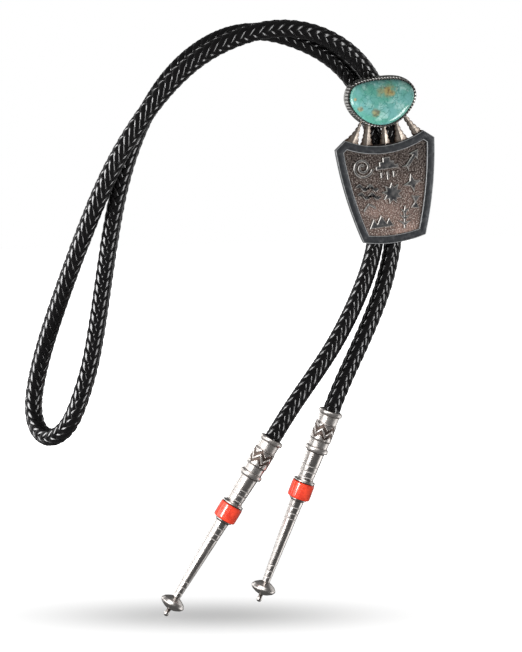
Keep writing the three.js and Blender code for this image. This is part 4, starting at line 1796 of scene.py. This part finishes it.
@dataclass
class Studio:
    """Camera, pale floor, white surroundings and soft lights at the sides.

    The camera's nearest and farthest distances are metres.
    """

    eye: tuple[float, float, float] = (-250.0, -974.6, 26.1)
    target: tuple[float, float, float] = (-10.4, -13.8, -113.1)
    lens: float = 138.0
    near: float = 0.01
    far: float = 50.0
    floor_sides: tuple[float, float] = (-700.0, 700.0)
    floor_ends: tuple[float, float] = (-420.0, 1400.0)
    surround: float = 0.11
    boxes: tuple[SoftBox, ...] = (
        SoftBox("left_strip", (Group.CORD,), -88, 8, 1.0, 0.5, 0.7, 19.0),
        SoftBox("right_strip", (Group.CORD,), 38, 3, 0.9, 0.25, 1.0, 8.0),
        SoftBox("back_left", (Group.CORD, *JEWELLERY), -148, 0, 1.0, 0.6, 1.0, 0.9),
        SoftBox("back_right", (Group.CORD, *JEWELLERY), 112, 0, 1.0, 0.9, 1.0, 2.2),
        SoftBox("left_panel", JEWELLERY, -92, 12, 1.0, 0.9, 1.1, 7.5),
        SoftBox("tip_left", (Group.TIPS,), -52, 18, 1.0, 0.5, 0.8, 7.5),
        SoftBox("tip_back", (Group.TIPS,), -150, 16, 1.0, 0.6, 0.8, 2.8),
        SoftBox("tip_edge", (Group.TIPS,), 86, -28, 1.0, 0.6, 0.7, 2.6),
        SoftBox("tip_top", (Group.TIPS,), -14, 62, 1.0, 0.9, 0.6, 9.0),
        SoftBox("coral_glint", (Group.CORAL,), -57, 18, 1.0, 0.24, 0.6, 12.0),
        SoftBox("front_right", (Group.PLATE,), 48, 2, 0.9, 0.5, 0.5, 3.5),
        SoftBox("stone_left", (Group.STONE,), -78, -12, 1.0, 0.7, 0.5, 9.0),
        SoftBox("low_right", (Group.STONE,), 68, -33, 0.9, 0.3, 0.5, 4.5),
        SoftBox("front_fill", JEWELLERY, -30, -5, 1.0, 0.6, 0.6, 11.5, mirrored=False),
        SoftBox("floor_light", (Group.FLOOR,), -14, 84, 1.2, 1.3, 1.3, 36.0, mirrored=False),
    )

    def camera(self) -> None:
        """Makes the camera at the photograph's viewing angle."""
        data = bpy.data.cameras.new("camera")
        data.lens, data.clip_start, data.clip_end = self.lens, self.near, self.far
        eye, target = Vector(self.eye) * MM, Vector(self.target) * MM
        bpy.context.scene.camera = aimed("camera", data, eye, target)

    def floor(self) -> None:
        """Lays the pale floor, which polished surfaces don't show."""
        finish = FloorFinish()
        left, right = self.floor_sides
        front, back = self.floor_ends
        corners = [(left, front), (right, front), (right, back), (left, back)]
        mesh = bpy.data.meshes.new("floor")
        mesh.from_pydata([(x * MM, y * MM, finish.level * MM) for x, y in corners], [], [(0, 1, 2, 3)])
        mesh.materials.append(finish.material())
        floor = bpy.data.objects.new("floor", mesh)
        floor.visible_glossy = False
        bpy.context.scene.collection.objects.link(floor)

    def world(self) -> None:
        """Shows white surroundings to the camera and dim ones to the tie."""
        world = bpy.data.worlds.new("surroundings")
        world.use_nodes = True
        sheet = NodeSheet(world.node_tree)
        ray = sheet.add("LightPath").outputs["Is Camera Ray"]
        colour = sheet.mix(ray, grey(self.surround), grey(1.0))
        sheet.connect(world.node_tree.nodes["Background"], {"Color": colour})
        bpy.context.scene.world = world
        bpy.context.scene.view_settings.view_transform = "Standard"

    def lights(self) -> None:
        """Stands the soft boxes round the tie, each turned to its middle and set on its own pieces."""
        middle = Vector(self.target) * MM
        tie = gathered("tie", (Group.CORD, *JEWELLERY))
        for box in self.boxes:
            data = bpy.data.lights.new(box.name, "AREA")
            data.shape = "RECTANGLE"
            data.size, data.size_y, data.energy = box.width, box.height, box.power
            azimuth, elevation = math.radians(box.azimuth), math.radians(box.elevation)
            level = math.cos(elevation)
            away = Vector((math.sin(azimuth) * level, -math.cos(azimuth) * level, math.sin(elevation)))
            light = aimed(box.name, data, middle + away * box.distance, middle)
            light.visible_camera = False
            light.visible_glossy = box.mirrored
            lit = gathered(f"lit_by_{box.name}", box.on)
            light.light_linking.receiver_collection = lit
            light.light_linking.blocker_collection = lit if Group.FLOOR in box.on else tie


def main() -> None:
    """Builds the camera, the cord, the slide, the tips and the studio."""
    logging.basicConfig(level=logging.INFO, format="%(message)s")
    studio = Studio()
    studio.camera()
    left = Tip(Side.LEFT, (-1.8, 0.9, -161.9), slant=31.1, lean=4.0)
    right = Tip(Side.RIGHT, (23.1, 0.9, -151.3), slant=20.2, lean=4.0)
    cord = Cord(left, right)
    plait = cord.build(LeatherFinish().material())
    silver, coral = TIP_SILVER.material(), CoralFinish().material()
    on_cord = left.build(silver, coral) + right.build(silver, coral)
    cord.declare()
    slide = Slide()
    for assembly in (Shield(slide), Feathers(slide), Setting(slide), Clip(slide)):
        assembly.build()
    studio.floor()
    studio.world()
    studio.lights()


if __name__ == "__main__":
    main()
